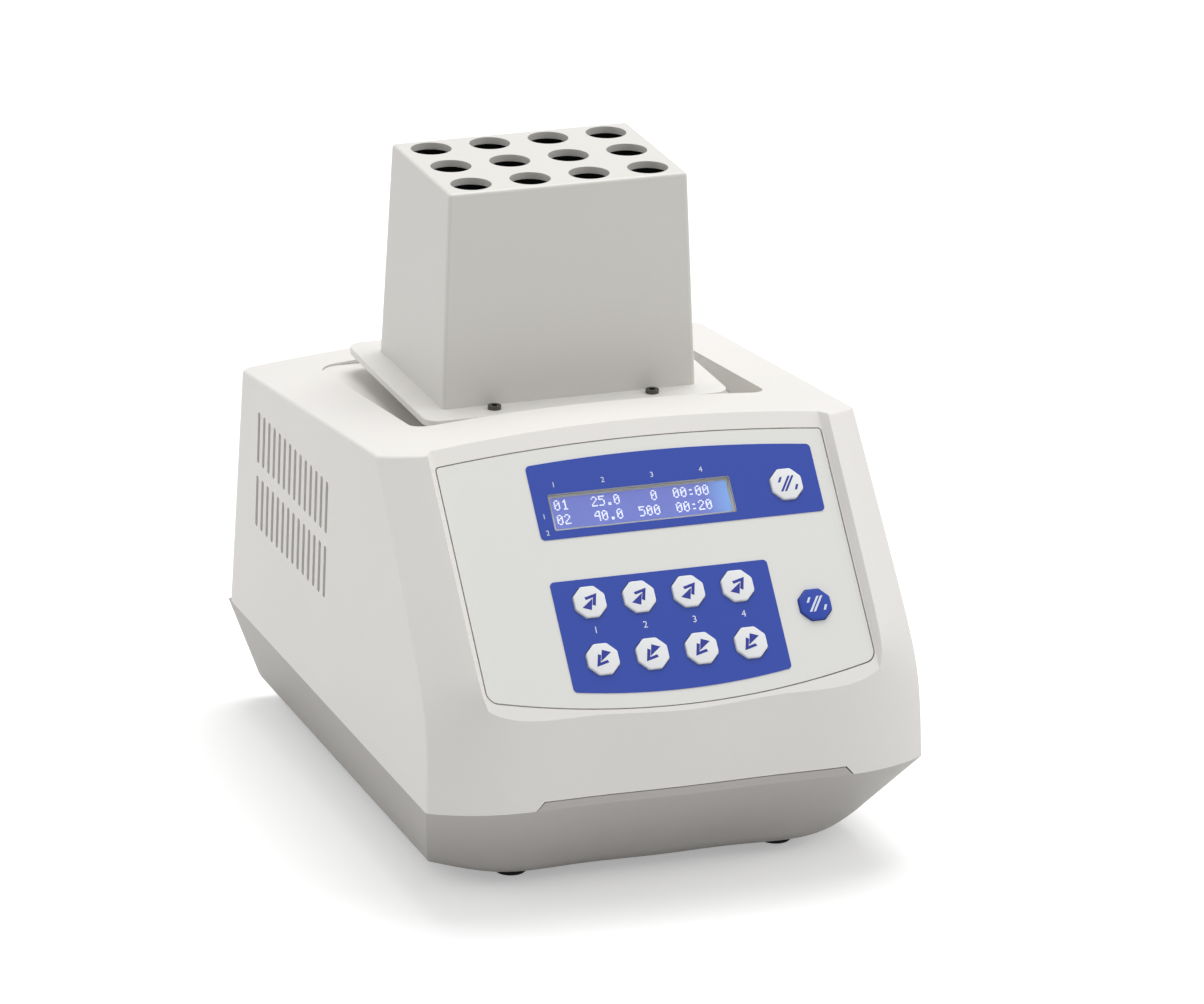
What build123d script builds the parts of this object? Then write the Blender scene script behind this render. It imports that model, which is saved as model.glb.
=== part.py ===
from build123d import *
import os
from math import cos, radians, sin, sqrt, tan

# Bench mixer that heats, cools and orbits a block of twelve centrifuge tubes.
# Millimetres. +X right, +Y back, +Z up. The origin is under the middle of the
# footprint, on the surface that the feet stand on.

# Tube wells
WELL_PITCH = 26.5
WELL_COLUMNS = 4
WELL_ROWS = 3
WELL_RADIUS = 8.4
WELL_STRAIGHT = 68.0
WELL_CONE = 20.0
WELL_TIP_RADIUS = 2.5
BLOCK_Y = 51.5

# Tube block and its cover
BLOCK_SIDE_MARGIN = 3.0
BLOCK_END_MARGIN = 1.3
BLOCK_HEIGHT = 95.7
COVER_GAP = 0.5
COVER_WALL = 1.9
COVER_TOP = 3.0
COVER_HEADROOM = 0.4
COVER_HOLE_RADIUS = 8.8
COVER_DRAFT = 3.7
COVER_EDGE = 1.6

# Flange plate under the cover
FLANGE_HALF_X = 68.4
FLANGE_HALF_Y = 55.5
FLANGE_CORNER = 7.0
FLANGE_THICKNESS = 3.0
FLANGE_LIFT = 2.0
FLANGE_EDGE = 0.5
FLANGE_SCREW_X = 35.6
FLANGE_SCREW_Y = 47.4
FLANGE_POST_RADIUS = 4.0

# Heat stack under the block
SPREADER_THICKNESS = 6.0
MODULE_SIZE = 40.0
MODULE_HEIGHT = 4.0
MODULE_X = 23.0
SINK_HALF_X = 50.0
SINK_HALF_Y = 34.0
SINK_HEIGHT = 26.0
SINK_BASE = 7.0
SINK_FIN = 1.8
SINK_FIN_PITCH = 6.4
SINK_FIN_COUNT = 13
SINK_RAIL = 5.0
SINK_FOOT_GAP = 3.0
SENSOR_RADIUS = 1.5
SENSOR_DEPTH = 22.0
SENSOR_HEAD = 3.0
SENSOR_HEAD_LENGTH = 5.0
PROBE_CLEARANCE = 0.05

# Orbiting drive
ORBIT_RADIUS = 1.5
RUNNING_CLEARANCE = 0.05
SHAFT_RADIUS = 3.95
BEARING_OUTER = 11.0
BEARING_HEIGHT = 7.0
BEARING_SPACER = 13.0
BEARING_HOUSING_WALL = 4.0
BEARING_STANDOUT = 1.0
BEARING_SHOULDER = 2.0
HOUSING_FLANGE_RADIUS = 22.0
HOUSING_FLANGE_THICKNESS = 4.0
SHAFT_TAIL = 2.0
PULLEY_LIFT = 2.0
PULLEY_HEIGHT = 8.0
PULLEY_RADIUS = 20.0
MOTOR_PULLEY_RADIUS = 10.0
PULLEY_LIP = 1.5
PULLEY_LIP_HEIGHT = 1.0
BELT_THICKNESS = 1.5
BELT_GAP = 0.15
BELT_WIDTH = 5.0
DRIVE_CENTRES = 66.0
WEIGHT_LIFT = 1.0
WEIGHT_HEIGHT = 6.0
WEIGHT_RADIUS = 26.0
WEIGHT_HUB = 9.0
CRANK_WEB = 2.5
CRANK_WEB_RADIUS = 8.0
CRANK_SHOULDER = 1.4
CRANK_SHOULDER_RADIUS = 5.5
SHOULDER_GAP = 0.1
IDLER_X = 52.0
IDLER_Y = 36.0
IDLER_RADIUS = 2.95
IDLER_PIN_CLEARANCE = 0.3
IDLER_BUSH_RADIUS = 7.0
IDLER_BUSH_DROP = 4.0
IDLER_BUSH_FLANGE = 9.0
IDLER_BUSH_FLANGE_HEIGHT = 1.0
IDLER_WEB = 3.0
IDLER_PIN_SHORT = 1.0
CARRIAGE_HALF_X = 62.0
CARRIAGE_HALF_Y = 53.0
CARRIAGE_CORNER = 6.0
CARRIAGE_THICKNESS = 6.0
CARRIAGE_HUB = 3.0
CARRIAGE_HUB_RADIUS = 15.0
CARRIAGE_CAP = 1.0

# Motor
MOTOR_RADIUS = 22.0
MOTOR_HEIGHT = 48.0
MOTOR_WALL = 3.5
MOTOR_END = 4.0
MOTOR_SHAFT_RADIUS = 2.5
MOTOR_TAIL = 2.0
ROTOR_RADIUS = 14.0
ROTOR_HEIGHT = 26.0
STATOR_GAP = 0.6
STATOR_HEIGHT = 28.0
MOTOR_CLEARANCE_HOLE = 8.0

# Deck, pillars, chassis
DECK_THICKNESS = 4.0
DECK_HALF_X = 78.0
DECK_FRONT = -42.0
DECK_BACK = 104.0
DECK_CORNER = 8.0
PILLAR_LENGTH = 80.5
PILLAR_X = 70.0
PILLAR_Y = 45.0
PILLAR_ACROSS = 10.0
CHASSIS_THICKNESS = 1.5
CHASSIS_HALF_X = 76.0
CHASSIS_FRONT = -100.0
CHASSIS_BACK = 126.0
CHASSIS_LIFT = 6.0
CHASSIS_BOSS_X = 60.0
CHASSIS_BOSS_Y = (-78.0, 24.0, 116.0)
BOSS_RADIUS = 4.5

# Screws
SCREW_RADIUS = 1.5
SCREW_HEAD_RADIUS = 2.9
SCREW_HEAD_HEIGHT = 1.6
SCREW_LENGTH = 8.0
SCREW_CLEARANCE = 0.1
SCREW_SOCKET_ACROSS = 2.5
SCREW_SOCKET_DEPTH = 0.9

# Outer body
PARTING_Z = 46.0
BODY_WALL = 3.0
BODY_HALF_X = 110.2
SIDE_DRAFT = 0.0285
BACK_Y = 144.7
BACK_DRAFT = 0.0688
TOP_EDGE_Z = 176.2
TOP_EDGE_Y = -52.0
TOP_SLOPE = 6.5
CROWN_RISE = 6.5
CROWN_HALF_X = 106.5
TOP_ROUND = 1.6
BACK_CORNER = 5.0

# Display bay, a flat plane cut into the front
BAY_TILT = 48.6
BAY_TOP_Y = -60.2
BAY_TOP_Z = 180.6
BAY_HALF_X = 86.4
BAY_WALL_LEAN = 3.4
BAY_WALL_HEIGHT = 4.6
BAY_WALL = 5.0

# Front of the body, as it rises from the parting line
FRONT_Y = -139.3
RIM_PROUD = 6.0
RIM_SOFTNESS = 6.0
RIM_X = 88.0
CORNER_FOOT_Y = -130.5
CORNER_SWEEP = 19.7
CORNER_SOFTNESS = 14.0
CORNER_BULGE = 1.2
FRONT_BULGE = 2.5
FRONT_LEAN = 0.092
SECTION_COUNT = 16
SECTION_REACH = 154.0

# Pocket that the block moves in
POCKET_HALF_X = 79.5
POCKET_FRONT = -20.5
POCKET_BACK = 113.5
POCKET_CORNER = 9.0
POCKET_SKIRT = 2.5
POCKET_SKIRT_Z = 148.0

# Side vents
VENT_COUNT = 14
VENT_PITCH = 7.33
VENT_WIDTH = 3.2
VENT_LENGTH = 23.2
VENT_FIRST_Y = 108.0
VENT_ROW_Z = (103.4, 132.3)

# Tray
TRAY_SIDE_SLOPE = 0.367
TRAY_FRONT_SLOPE = 0.81
TRAY_CORNER_SLOPE = 1.04
TRAY_BACK_SLOPE = 0.10
TRAY_ROUND = 6.0
TRAY_ROUND_STEPS = 5
TRAY_FLOOR = 3.0
NOTCH_LEFT = -66.0
NOTCH_RIGHT = 75.0
NOTCH_HEIGHT = 4.0
NOTCH_RAMP = 3.5
NOTCH_DEPTH = 30.0
PARTING_GAP = 0.4

# Feet
FOOT_HEIGHT = 5.0
FOOT_RADIUS = 7.0
FOOT_STEM_RADIUS = 2.5
FOOT_STEM_HEAD = 3.5
FOOT_FRONT = (59.5, -90.5)
FOOT_BACK = (70.0, 124.0)
STEM_CLEARANCE = 0.1

# Screws that close the body
CLOSING_X = 84.0
CLOSING_Y = (-66.0, 120.0)
CLOSING_BOSS_HEIGHT = 20.0
CLOSING_RIB = 3.0
COUNTERBORE_RADIUS = 3.3
COUNTERBORE_DEPTH = 2.5

# Control panel
PANEL_HALF_X = 86.0
PANEL_TOP_SIDE = 8.8
PANEL_TOP_MIDDLE = 4.0
PANEL_BOTTOM_SIDE = 115.0
PANEL_BOTTOM_MIDDLE = 125.3
PANEL_TOP_CORNER = 2.0
PANEL_BOTTOM_CORNER = 6.0
PANEL_GAP = 0.55
PANEL_THICKNESS = 2.5
PANEL_OPENING_HALF_X = 80.0
PANEL_OPENING_TOP = 13.0
PANEL_OPENING_BOTTOM = 110.0

# Blue films on the panel
FILM_THICKNESS = 0.25
FILM_MARGIN = 7.0
FILM_CORNER = 2.0
DISPLAY_FILM_LEFT = -47.2
DISPLAY_FILM_BOTTOM = 46.4
KEYPAD_FILM_HALF_X = 48.1
KEYPAD_FILM_TOP = 65.3

# Display
WINDOW_HALF_X = 40.4
WINDOW_TOP = 26.2
WINDOW_BOTTOM = 42.7
WINDOW_CORNER = 0.8
WINDOW_LEDGE = 1.2
WINDOW_THICKNESS = 1.7
WINDOW_INSET = 0.3
WINDOW_GAP = 0.1
LCD_HALF_X = 49.0
LCD_MARGIN = 4.6
LCD_GLASS_MARGIN = 1.6
LCD_GLASS_THICKNESS = 0.8
LCD_FACE_GAP = 0.1

# Keys
KEY_PITCH_X = 21.8
KEY_COUNT = 4
KEY_UP_ROW = 75.8
KEY_DOWN_ROW = 101.5
SIDE_KEY_X = 64.6
RUN_KEY_ROW = 32.9
STOP_KEY_ROW = 87.8
KEY_ACROSS = 13.8
KEY_CORNER = 1.6
KEY_PROUD = 1.3
KEY_CLEARANCE = 0.3
KEY_FLANGE_ACROSS = 17.0
KEY_FLANGE = 1.5
KEY_REST_GAP = 0.1
KEY_STEM_RADIUS = 2.2
KEY_TRAVEL = 0.6
SWITCH_SIZE = 6.0
SWITCH_HEIGHT = 1.8
SWITCH_GAP = 0.2

# Keypad board
BOARD_GAP = 7.0
BOARD_THICKNESS = 1.6
BOARD_HALF_X = 78.0
BOARD_TOP = 15.0
BOARD_BOTTOM = 108.0
BOARD_BOSS_RADIUS = 3.0
BOARD_SCREW_RADIUS = 1.2
BOARD_BOSSES = ((-73.0, 20.0), (73.0, 20.0), (-73.0, 103.0), (73.0, 103.0), (-56.0, 60.0), (56.0, 60.0))

# Electronics on the chassis
STANDOFF_HEIGHT = 4.5
STANDOFF_RADIUS = 3.0
STANDOFF_INSET = 4.0
SUPPLY_LEFT = -72.0
SUPPLY_RIGHT = -6.0
SUPPLY_FRONT = -96.0
SUPPLY_BACK = -50.0
SUPPLY_HEIGHT = 28.0
MAIN_BOARD_LEFT = 2.0
MAIN_BOARD_RIGHT = 74.0
MAIN_BOARD_FRONT = -96.0
MAIN_BOARD_BACK = -42.0
COMPONENT_HEIGHT = 12.0
RIBBON_WIDTH = 24.0
RIBBON_THICKNESS = 1.0
RIBBON_X = 38.0

# Rear panel
REAR_PLATE_Y = 131.5
REAR_PLATE_THICKNESS = 1.5
REAR_FRAME_HALF_X = 98.0
REAR_FRAME_BORDER = 10.0
REAR_FRAME_LOW = 47.5
REAR_FRAME_HIGH = 145.0
REAR_PLATE_INSET = 2.0
REAR_SCREW_INSET = 6.0

# Fan
FAN_X = 50.0
FAN_Z = 96.0
FAN_SIZE = 60.0
FAN_DEPTH = 25.0
FAN_BORE = 28.5
FAN_CORNER = 4.0
FAN_HUB = 13.0
FAN_BLADES = 7
FAN_BLADE_GAP = 1.0
FAN_BLADE_ANGLE = 40.0
FAN_BLADE_THICKNESS = 1.6
FAN_SPIDER = 3.0
FAN_MOUNT = 25.0
FAN_AXLE_RADIUS = 2.0
GUARD_WIRE = 0.9
GUARD_PAD = 1.2
GUARD_RINGS = (27.0, 20.0, 13.0)
GUARD_HUB = 6.0

# Power inlet with its fuse drawer
INLET_X = -56.0
INLET_Z = 84.0
SOCKET_HALF_X = 12.1
SOCKET_HALF_Z = 8.0
SOCKET_CHAMFER = 4.0
SOCKET_DEPTH = 17.0
INLET_WALL = 1.8
INLET_FLANGE_HALF_X = 25.0
INLET_FLANGE_TOP = 14.0
INLET_FLANGE_BOTTOM = 25.0
INLET_FLANGE_THICKNESS = 2.2
INLET_CORNER = 4.0
INLET_BACK = 2.0
PIN_WIDTH = 2.0
PIN_HEIGHT = 4.0
PIN_LENGTH = 11.0
PIN_SPACING = 7.0
PIN_RISE = 2.0
DRAWER_DROP = 17.5
DRAWER_HALF_X = 11.0
DRAWER_HALF_Z = 3.6
DRAWER_DEPTH = 16.0
DRAWER_CLEARANCE = 0.2
DRAWER_LIP = 1.2
DRAWER_LIP_GROWTH = 1.2
INLET_SCREW_X = 20.0

# Mains switch
SWITCH_X = -8.0
SWITCH_Z = 78.0
ROCKER_HALF_X = 5.0
ROCKER_HALF_Z = 9.0
ROCKER_DEPTH = 8.0
ROCKER_TILT = 8.0
ROCKER_CLEARANCE = 0.5
ROCKER_WALL = 2.0
ROCKER_FLANGE = 2.0
ROCKER_FLANGE_THICKNESS = 2.0
ROCKER_BODY_DEPTH = 18.0
ROCKER_AXLE_RADIUS = 1.5

# Heights that follow from the stack
TRAY_TOP_OF_FLOOR = FOOT_HEIGHT + TRAY_FLOOR
CHASSIS_Z = TRAY_TOP_OF_FLOOR + CHASSIS_LIFT
CHASSIS_TOP = CHASSIS_Z + CHASSIS_THICKNESS
DECK_Z = CHASSIS_TOP + PILLAR_LENGTH
DECK_TOP = DECK_Z + DECK_THICKNESS
HUB_TOP = DECK_TOP + BEARING_STANDOUT
HUB_BOTTOM = HUB_TOP - 2 * BEARING_HEIGHT - BEARING_SPACER
PULLEY_Z = HUB_TOP + PULLEY_LIFT
WEIGHT_Z = PULLEY_Z + PULLEY_HEIGHT + WEIGHT_LIFT
CRANK_Z = WEIGHT_Z + WEIGHT_HEIGHT
CRANK_TOP = CRANK_Z + CRANK_WEB + CRANK_SHOULDER
CARRIAGE_BEARING_Z = CRANK_TOP + SHOULDER_GAP
CARRIAGE_Z = CARRIAGE_BEARING_Z + CARRIAGE_HUB
CARRIAGE_TOP = CARRIAGE_Z + CARRIAGE_THICKNESS
SINK_TOP = CARRIAGE_TOP + SINK_HEIGHT
SPREADER_Z = SINK_TOP + MODULE_HEIGHT
BLOCK_Z = SPREADER_Z + SPREADER_THICKNESS
BLOCK_TOP = BLOCK_Z + BLOCK_HEIGHT
FLANGE_Z = BLOCK_Z + FLANGE_LIFT
FLANGE_TOP = FLANGE_Z + FLANGE_THICKNESS
COVER_INNER_TOP = BLOCK_TOP + COVER_HEADROOM
COVER_TOP_Z = COVER_INNER_TOP + COVER_TOP

# Sizes that follow from the wells
BLOCK_HALF_X = (WELL_COLUMNS - 1) * WELL_PITCH / 2 + WELL_RADIUS + BLOCK_SIDE_MARGIN
BLOCK_HALF_Y = (WELL_ROWS - 1) * WELL_PITCH / 2 + WELL_RADIUS + BLOCK_END_MARGIN
COVER_TOP_HALF_X = BLOCK_HALF_X + COVER_GAP + COVER_WALL
COVER_TOP_HALF_Y = BLOCK_HALF_Y + COVER_GAP + COVER_WALL

# Axes that follow from the orbit
SPINDLE_Y = BLOCK_Y - ORBIT_RADIUS
MOTOR_Y = SPINDLE_Y - DRIVE_CENTRES
HUB_WALL_RADIUS = BEARING_OUTER + BEARING_HOUSING_WALL

# Depths behind the panel face, measured along its normal
PANEL_BACK = -PANEL_THICKNESS
BOARD_FACE = PANEL_BACK - BOARD_GAP
BOARD_BACK = BOARD_FACE - BOARD_THICKNESS
REAR_OUTSIDE = REAR_PLATE_Y + REAR_PLATE_THICKNESS

BAY = Plane(origin=(0, BAY_TOP_Y, BAY_TOP_Z), x_dir=(1, 0, 0),
            z_dir=(0, -sin(radians(BAY_TILT)), cos(radians(BAY_TILT))))
FAR = 400.0


# Small helpers

def block(x0, x1, y0, y1, z0, z1):
    """Box between two corners."""
    return Pos((x0 + x1) / 2, (y0 + y1) / 2, (z0 + z1) / 2) * Box(x1 - x0, y1 - y0, z1 - z0)


def rod(x, y, z0, z1, radius):
    """Upright cylinder from z0 to z1."""
    return Pos(x, y, (z0 + z1) / 2) * Cylinder(radius, z1 - z0)


def ring(x, y, z0, z1, outer, inner):
    """Upright tube from z0 to z1."""
    return rod(x, y, z0, z1, outer) - rod(x, y, z0, z1, inner)


def rod_y(x, z, y0, y1, radius):
    """Cylinder along Y from y0 to y1."""
    return Pos(x, (y0 + y1) / 2, z) * Rot(90, 0, 0) * Cylinder(radius, y1 - y0)


def rounded_plate(half_x, half_y, corner, z0, z1, y=0.0):
    """Flat plate with rounded corners."""
    outline = Pos(0, y, z0) * RectangleRounded(2 * half_x, 2 * half_y, corner)
    return extrude(outline, z1 - z0)


def mirrored(x, y_values):
    """Points at both sides of the middle, for each y."""
    return [(side * x, y) for y in y_values for side in (-1, 1)]


def screw(x, y, z, length=SCREW_LENGTH, socket=True):
    """Screw with its head seated on z and its shank below."""
    body = rod(x, y, z, z + SCREW_HEAD_HEIGHT, SCREW_HEAD_RADIUS) + rod(x, y, z - length, z, SCREW_RADIUS)
    if socket:
        hexagon = Pos(x, y, z + SCREW_HEAD_HEIGHT - SCREW_SOCKET_DEPTH) * RegularPolygon(
            SCREW_SOCKET_ACROSS / 2, 6, major_radius=False)
        body -= extrude(hexagon, SCREW_SOCKET_DEPTH)
    return body


def screw_hole(x, y, z, length=SCREW_LENGTH):
    """Clearance hole for such a screw's shank."""
    return rod(x, y, z - length - 1, z + 1, SCREW_RADIUS + SCREW_CLEARANCE)


def group(solids):
    """Separate solids in one node."""
    return Compound(children=[solid.solid() for solid in solids])


def on_bay(shape):
    """Places a shape drawn on the bay plane: local X right, local Y up the slope, local Z outward."""
    return BAY.location * shape


def bay_slab(face, low, high):
    """Extrudes a face drawn on the bay plane between two depths."""
    return on_bay(extrude(Pos(0, 0, low) * face, high - low))


# Outer body

def bay_y(z):
    """Y of the bay plane at height z."""
    return BAY_TOP_Y - (BAY_TOP_Z - z) / tan(radians(BAY_TILT))


def eased(sloped, upright, softness):
    """The rearmost of two front lines, with a soft bend where they cross."""
    return (sloped + upright + sqrt((sloped - upright) ** 2 + softness ** 2)) / 2


def body_section(z, inset):
    """Plan of the body at height z, drawn in by a wall thickness."""
    front_inset = inset / sin(radians(BAY_TILT))
    side = BODY_HALF_X - SIDE_DRAFT * (z - PARTING_Z) - inset
    back = BACK_Y - BACK_DRAFT * (z - PARTING_Z) - inset
    slope = bay_y(z) - RIM_PROUD
    rim = eased(slope, FRONT_Y, RIM_SOFTNESS) + front_inset
    corner = eased(slope + CORNER_SWEEP, CORNER_FOOT_Y, CORNER_SOFTNESS) + front_inset
    bulge = FRONT_BULGE + FRONT_LEAN * (z - PARTING_Z)
    return plan_wire(z, side, back, corner, RIM_X - inset, rim, bulge)


def plan_wire(z, side, back, corner, rim_x, rim, bulge):
    """Closed plan: straight back and sides, and one smooth curve for the front and its corners."""
    middle_x = (side + rim_x) / 2 + CORNER_BULGE * 0.6
    middle_y = (corner + rim) / 2 - CORNER_BULGE * 0.8
    half = [(side, corner), (middle_x, middle_y), (rim_x, rim), (rim_x / 2, rim - bulge * 0.75)]
    points = half + [(0, rim - bulge)] + [(-x, y) for x, y in reversed(half)]
    front = Spline(*[(x, y, z) for x, y in points])
    left = Line((-side, corner, z), (-side, back, z))
    rear = Line((-side, back, z), (side, back, z))
    right = Line((side, back, z), (side, corner, z))
    return Wire([front, left, rear, right])


def body_solid(inset):
    """Body from the parting line up, before its top is cut."""
    step = SECTION_REACH / (SECTION_COUNT - 1)
    sections = [body_section(PARTING_Z + step * i, inset) for i in range(SECTION_COUNT)]
    return Solid.make_loft(sections, False)


def under_crown(drop):
    """All that lies under the crowned, sloping top, lowered by drop."""
    slope = radians(TOP_SLOPE)
    start_y = -FAR / 2
    edge_z = TOP_EDGE_Z + (TOP_EDGE_Y - start_y) * tan(slope) - drop
    radius = (CROWN_HALF_X ** 2 + CROWN_RISE ** 2) / (2 * CROWN_RISE)
    face = Pos(0, start_y, edge_z + CROWN_RISE - radius) * Plane.XZ.location * Circle(radius).face()
    return extrude(face, amount=FAR, dir=(0, cos(slope), -sin(slope)))


def bay_cut(drop, widen):
    """Everything in front of the bay plane, between its two leaning walls."""
    lean = BAY_WALL_LEAN / BAY_WALL_HEIGHT
    reach = 60.0
    low = BAY_HALF_X + widen
    high = low + lean * reach
    outline = Polyline((-low, -drop), (low, -drop), (high, reach), (-high, reach), close=True)
    face = Plane.XZ.location * make_face(outline)
    prism = extrude(Pos(0, FAR / 2, 0) * face, FAR)
    return on_bay(prism)


def pocket_outline(grow):
    """Rounded plan of the pocket that the block moves in."""
    half_y = (POCKET_BACK - POCKET_FRONT) / 2 + grow
    middle = (POCKET_BACK + POCKET_FRONT) / 2
    return Pos(0, middle, 0) * RectangleRounded(2 * (POCKET_HALF_X + grow), 2 * half_y, POCKET_CORNER + grow)


def pocket_skirt():
    """Wall that hangs down round the pocket."""
    return extrude(Pos(0, 0, POCKET_SKIRT_Z) * pocket_outline(POCKET_SKIRT), FAR)


def pocket_cut():
    return extrude(Pos(0, 0, POCKET_SKIRT_Z - 1) * pocket_outline(0.0), FAR)


def rear_frame():
    """Frame behind the back wall that the rear panel is screwed to."""
    return block(-REAR_FRAME_HALF_X, REAR_FRAME_HALF_X, REAR_OUTSIDE, FAR, REAR_FRAME_LOW, REAR_FRAME_HIGH)


def rear_opening():
    """The recess inside that frame."""
    half = REAR_FRAME_HALF_X - REAR_FRAME_BORDER
    low = REAR_FRAME_LOW + REAR_FRAME_BORDER
    high = REAR_FRAME_HIGH - REAR_FRAME_BORDER
    return block(-half, half, REAR_PLATE_Y - 1, FAR, low, high)


def rear_screw_points():
    """Places of the rear panel's screws, as x and z."""
    x = REAR_FRAME_HALF_X - REAR_SCREW_INSET
    low = REAR_FRAME_LOW + REAR_SCREW_INSET
    high = REAR_FRAME_HIGH - REAR_SCREW_INSET
    return mirrored(x, (low, high))


def closing_bosses():
    """Bosses inside the housing that the closing screws enter, each tied to its side wall by a rib."""
    top = PARTING_Z + CLOSING_BOSS_HEIGHT
    wall = BODY_HALF_X - SIDE_DRAFT * CLOSING_BOSS_HEIGHT - BODY_WALL / 2
    bosses = []
    for x, y in mirrored(CLOSING_X, CLOSING_Y):
        rib = block(min(x, wall * x / CLOSING_X), max(x, wall * x / CLOSING_X),
                    y - CLOSING_RIB / 2, y + CLOSING_RIB / 2, PARTING_Z + PARTING_GAP, top)
        bosses.append(rod(x, y, PARTING_Z + PARTING_GAP, top, BOSS_RADIUS) + rib)
    return bosses


def notch_outline(gap):
    """Raised tongue of the tray at the front, in the XZ plane."""
    top = PARTING_Z + NOTCH_HEIGHT + gap
    return Polyline((NOTCH_LEFT - gap, PARTING_Z - 1), (NOTCH_LEFT - gap, PARTING_Z),
                    (NOTCH_LEFT + NOTCH_RAMP - gap, top), (NOTCH_RIGHT - NOTCH_RAMP + gap, top),
                    (NOTCH_RIGHT + gap, PARTING_Z), (NOTCH_RIGHT + gap, PARTING_Z - 1), close=True)


def notch_cut(gap):
    """Block of the tongue's outline that reaches through the front wall."""
    face = Plane.XZ.location * make_face(notch_outline(gap))
    return extrude(Pos(0, FRONT_Y + NOTCH_DEPTH, 0) * face, 2 * NOTCH_DEPTH)


def vent_slots():
    """Two rows of upright slots in each side wall."""
    slots = []
    for z in VENT_ROW_Z:
        for i in range(VENT_COUNT):
            y = VENT_FIRST_Y - i * VENT_PITCH
            slot = SlotCenterToCenter(VENT_LENGTH - VENT_WIDTH, VENT_WIDTH, rotation=90)
            bar = extrude(Plane.YZ.location * slot, 2 * FAR, both=True)
            slots.append(Pos(0, y, z) * bar)
    return slots


def body_outside():
    """Outside of the housing before it is hollowed, with its soft edges."""
    outer = body_solid(0.0) & under_crown(0.0)
    near_back = BACK_Y - 2 * BACK_CORNER
    near_side = BODY_HALF_X - 2 * BACK_CORNER
    corners = outer.edges().filter_by(lambda e: e.center().Y > near_back and abs(e.center().X) > near_side)
    outer = fillet(corners, BACK_CORNER)
    top = outer.faces().sort_by(Axis.Z)[-1]
    outer = fillet(top.edges().filter_by(lambda e: e.center().Y > BAY_TOP_Y), TOP_ROUND)
    outer -= bay_cut(0.0, 0.0)
    top = outer.faces().sort_by(Axis.Z)[-1]
    shoulder_x = (BAY_HALF_X + CROWN_HALF_X) / 2
    shoulders = top.edges().filter_by(lambda e: e.center().Y < TOP_EDGE_Y and abs(e.center().X) > shoulder_x)
    return fillet(shoulders.filter_by(lambda e: e.length > 2 * TOP_ROUND), TOP_ROUND)


def upper_housing():
    outer = body_outside()
    inner = body_solid(BODY_WALL) & under_crown(BODY_WALL)
    inner -= bay_cut(BAY_WALL, BODY_WALL)
    shell = outer - inner
    shell += outer & pocket_skirt()
    shell += outer & rear_frame()
    shell += closing_bosses()
    cuts = [pocket_cut(), rear_opening(), notch_cut(0.0)] + panel_recess() + vent_slots()
    cuts += [screw_hole(x, y, PARTING_Z + SCREW_LENGTH) for x, y in mirrored(CLOSING_X, CLOSING_Y)]
    cuts += [rod_y(x, z, REAR_PLATE_Y, REAR_PLATE_Y + SCREW_LENGTH, SCREW_RADIUS + SCREW_CLEARANCE)
             for x, z in rear_screw_points()]
    return (shell - cuts).solid()


# Tray

def tray_section(z, inset):
    """Plan of the tray at height z: it draws in from the parting line and rounds under at its foot."""
    depth = PARTING_Z - z
    low = FOOT_HEIGHT + TRAY_ROUND
    turn = max(0.0, (low - z) / TRAY_ROUND)
    under = TRAY_ROUND * (1 - sqrt(max(0.0, 1 - turn ** 2))) * 0.8
    slope = bay_y(PARTING_Z) - RIM_PROUD
    corner = eased(slope + CORNER_SWEEP, CORNER_FOOT_Y, CORNER_SOFTNESS)
    rim = eased(slope, FRONT_Y, RIM_SOFTNESS)
    side = BODY_HALF_X - TRAY_SIDE_SLOPE * depth - under - inset
    back = BACK_Y - TRAY_BACK_SLOPE * depth - under - inset
    corner += TRAY_CORNER_SLOPE * depth + under + inset
    rim += TRAY_FRONT_SLOPE * depth + under + inset
    rim_x = RIM_X - (BODY_HALF_X - inset - side) - inset
    return plan_wire(z, side, back, corner, rim_x, rim, FRONT_BULGE)


def tray_solid(inset, bottom, top_z):
    """Tray's outside or inside, from its floor to the parting line."""
    low = FOOT_HEIGHT + TRAY_ROUND
    heights = [bottom + (low - bottom) * i / TRAY_ROUND_STEPS for i in range(TRAY_ROUND_STEPS)]
    sections = [tray_section(z, inset) for z in heights + [low, top_z]]
    return Solid.make_loft(sections, True)


def base_tray():
    outer = tray_solid(0.0, FOOT_HEIGHT, PARTING_Z)
    inner = tray_solid(BODY_WALL, TRAY_TOP_OF_FLOOR, PARTING_Z + 1)
    tray = outer - inner
    tongue = notch_cut(-PARTING_GAP) & (body_solid(0.0) - body_solid(BODY_WALL))
    tray += tongue
    for x, y in mirrored(CHASSIS_BOSS_X, CHASSIS_BOSS_Y):
        tray += rod(x, y, FOOT_HEIGHT + 1, CHASSIS_Z, BOSS_RADIUS)
    for x, y in mirrored(CLOSING_X, CLOSING_Y):
        tray += rod(x, y, FOOT_HEIGHT + 1, PARTING_Z, BOSS_RADIUS)
    cuts = [screw_hole(x, y, CHASSIS_Z, SCREW_LENGTH - 2) for x, y in mirrored(CHASSIS_BOSS_X, CHASSIS_BOSS_Y)]
    for x, y in mirrored(CLOSING_X, CLOSING_Y):
        cuts.append(rod(x, y, FOOT_HEIGHT - 1, PARTING_Z + 1, SCREW_RADIUS + SCREW_CLEARANCE))
        cuts.append(rod(x, y, FOOT_HEIGHT - 1, FOOT_HEIGHT + COUNTERBORE_DEPTH, COUNTERBORE_RADIUS))
    for x, y in foot_points():
        cuts.append(rod(x, y, FOOT_HEIGHT - 1, TRAY_TOP_OF_FLOOR + 1, FOOT_STEM_RADIUS + STEM_CLEARANCE))
    return (tray - cuts).solid()


def foot_points():
    return mirrored(FOOT_FRONT[0], (FOOT_FRONT[1],)) + mirrored(FOOT_BACK[0], (FOOT_BACK[1],))


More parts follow.
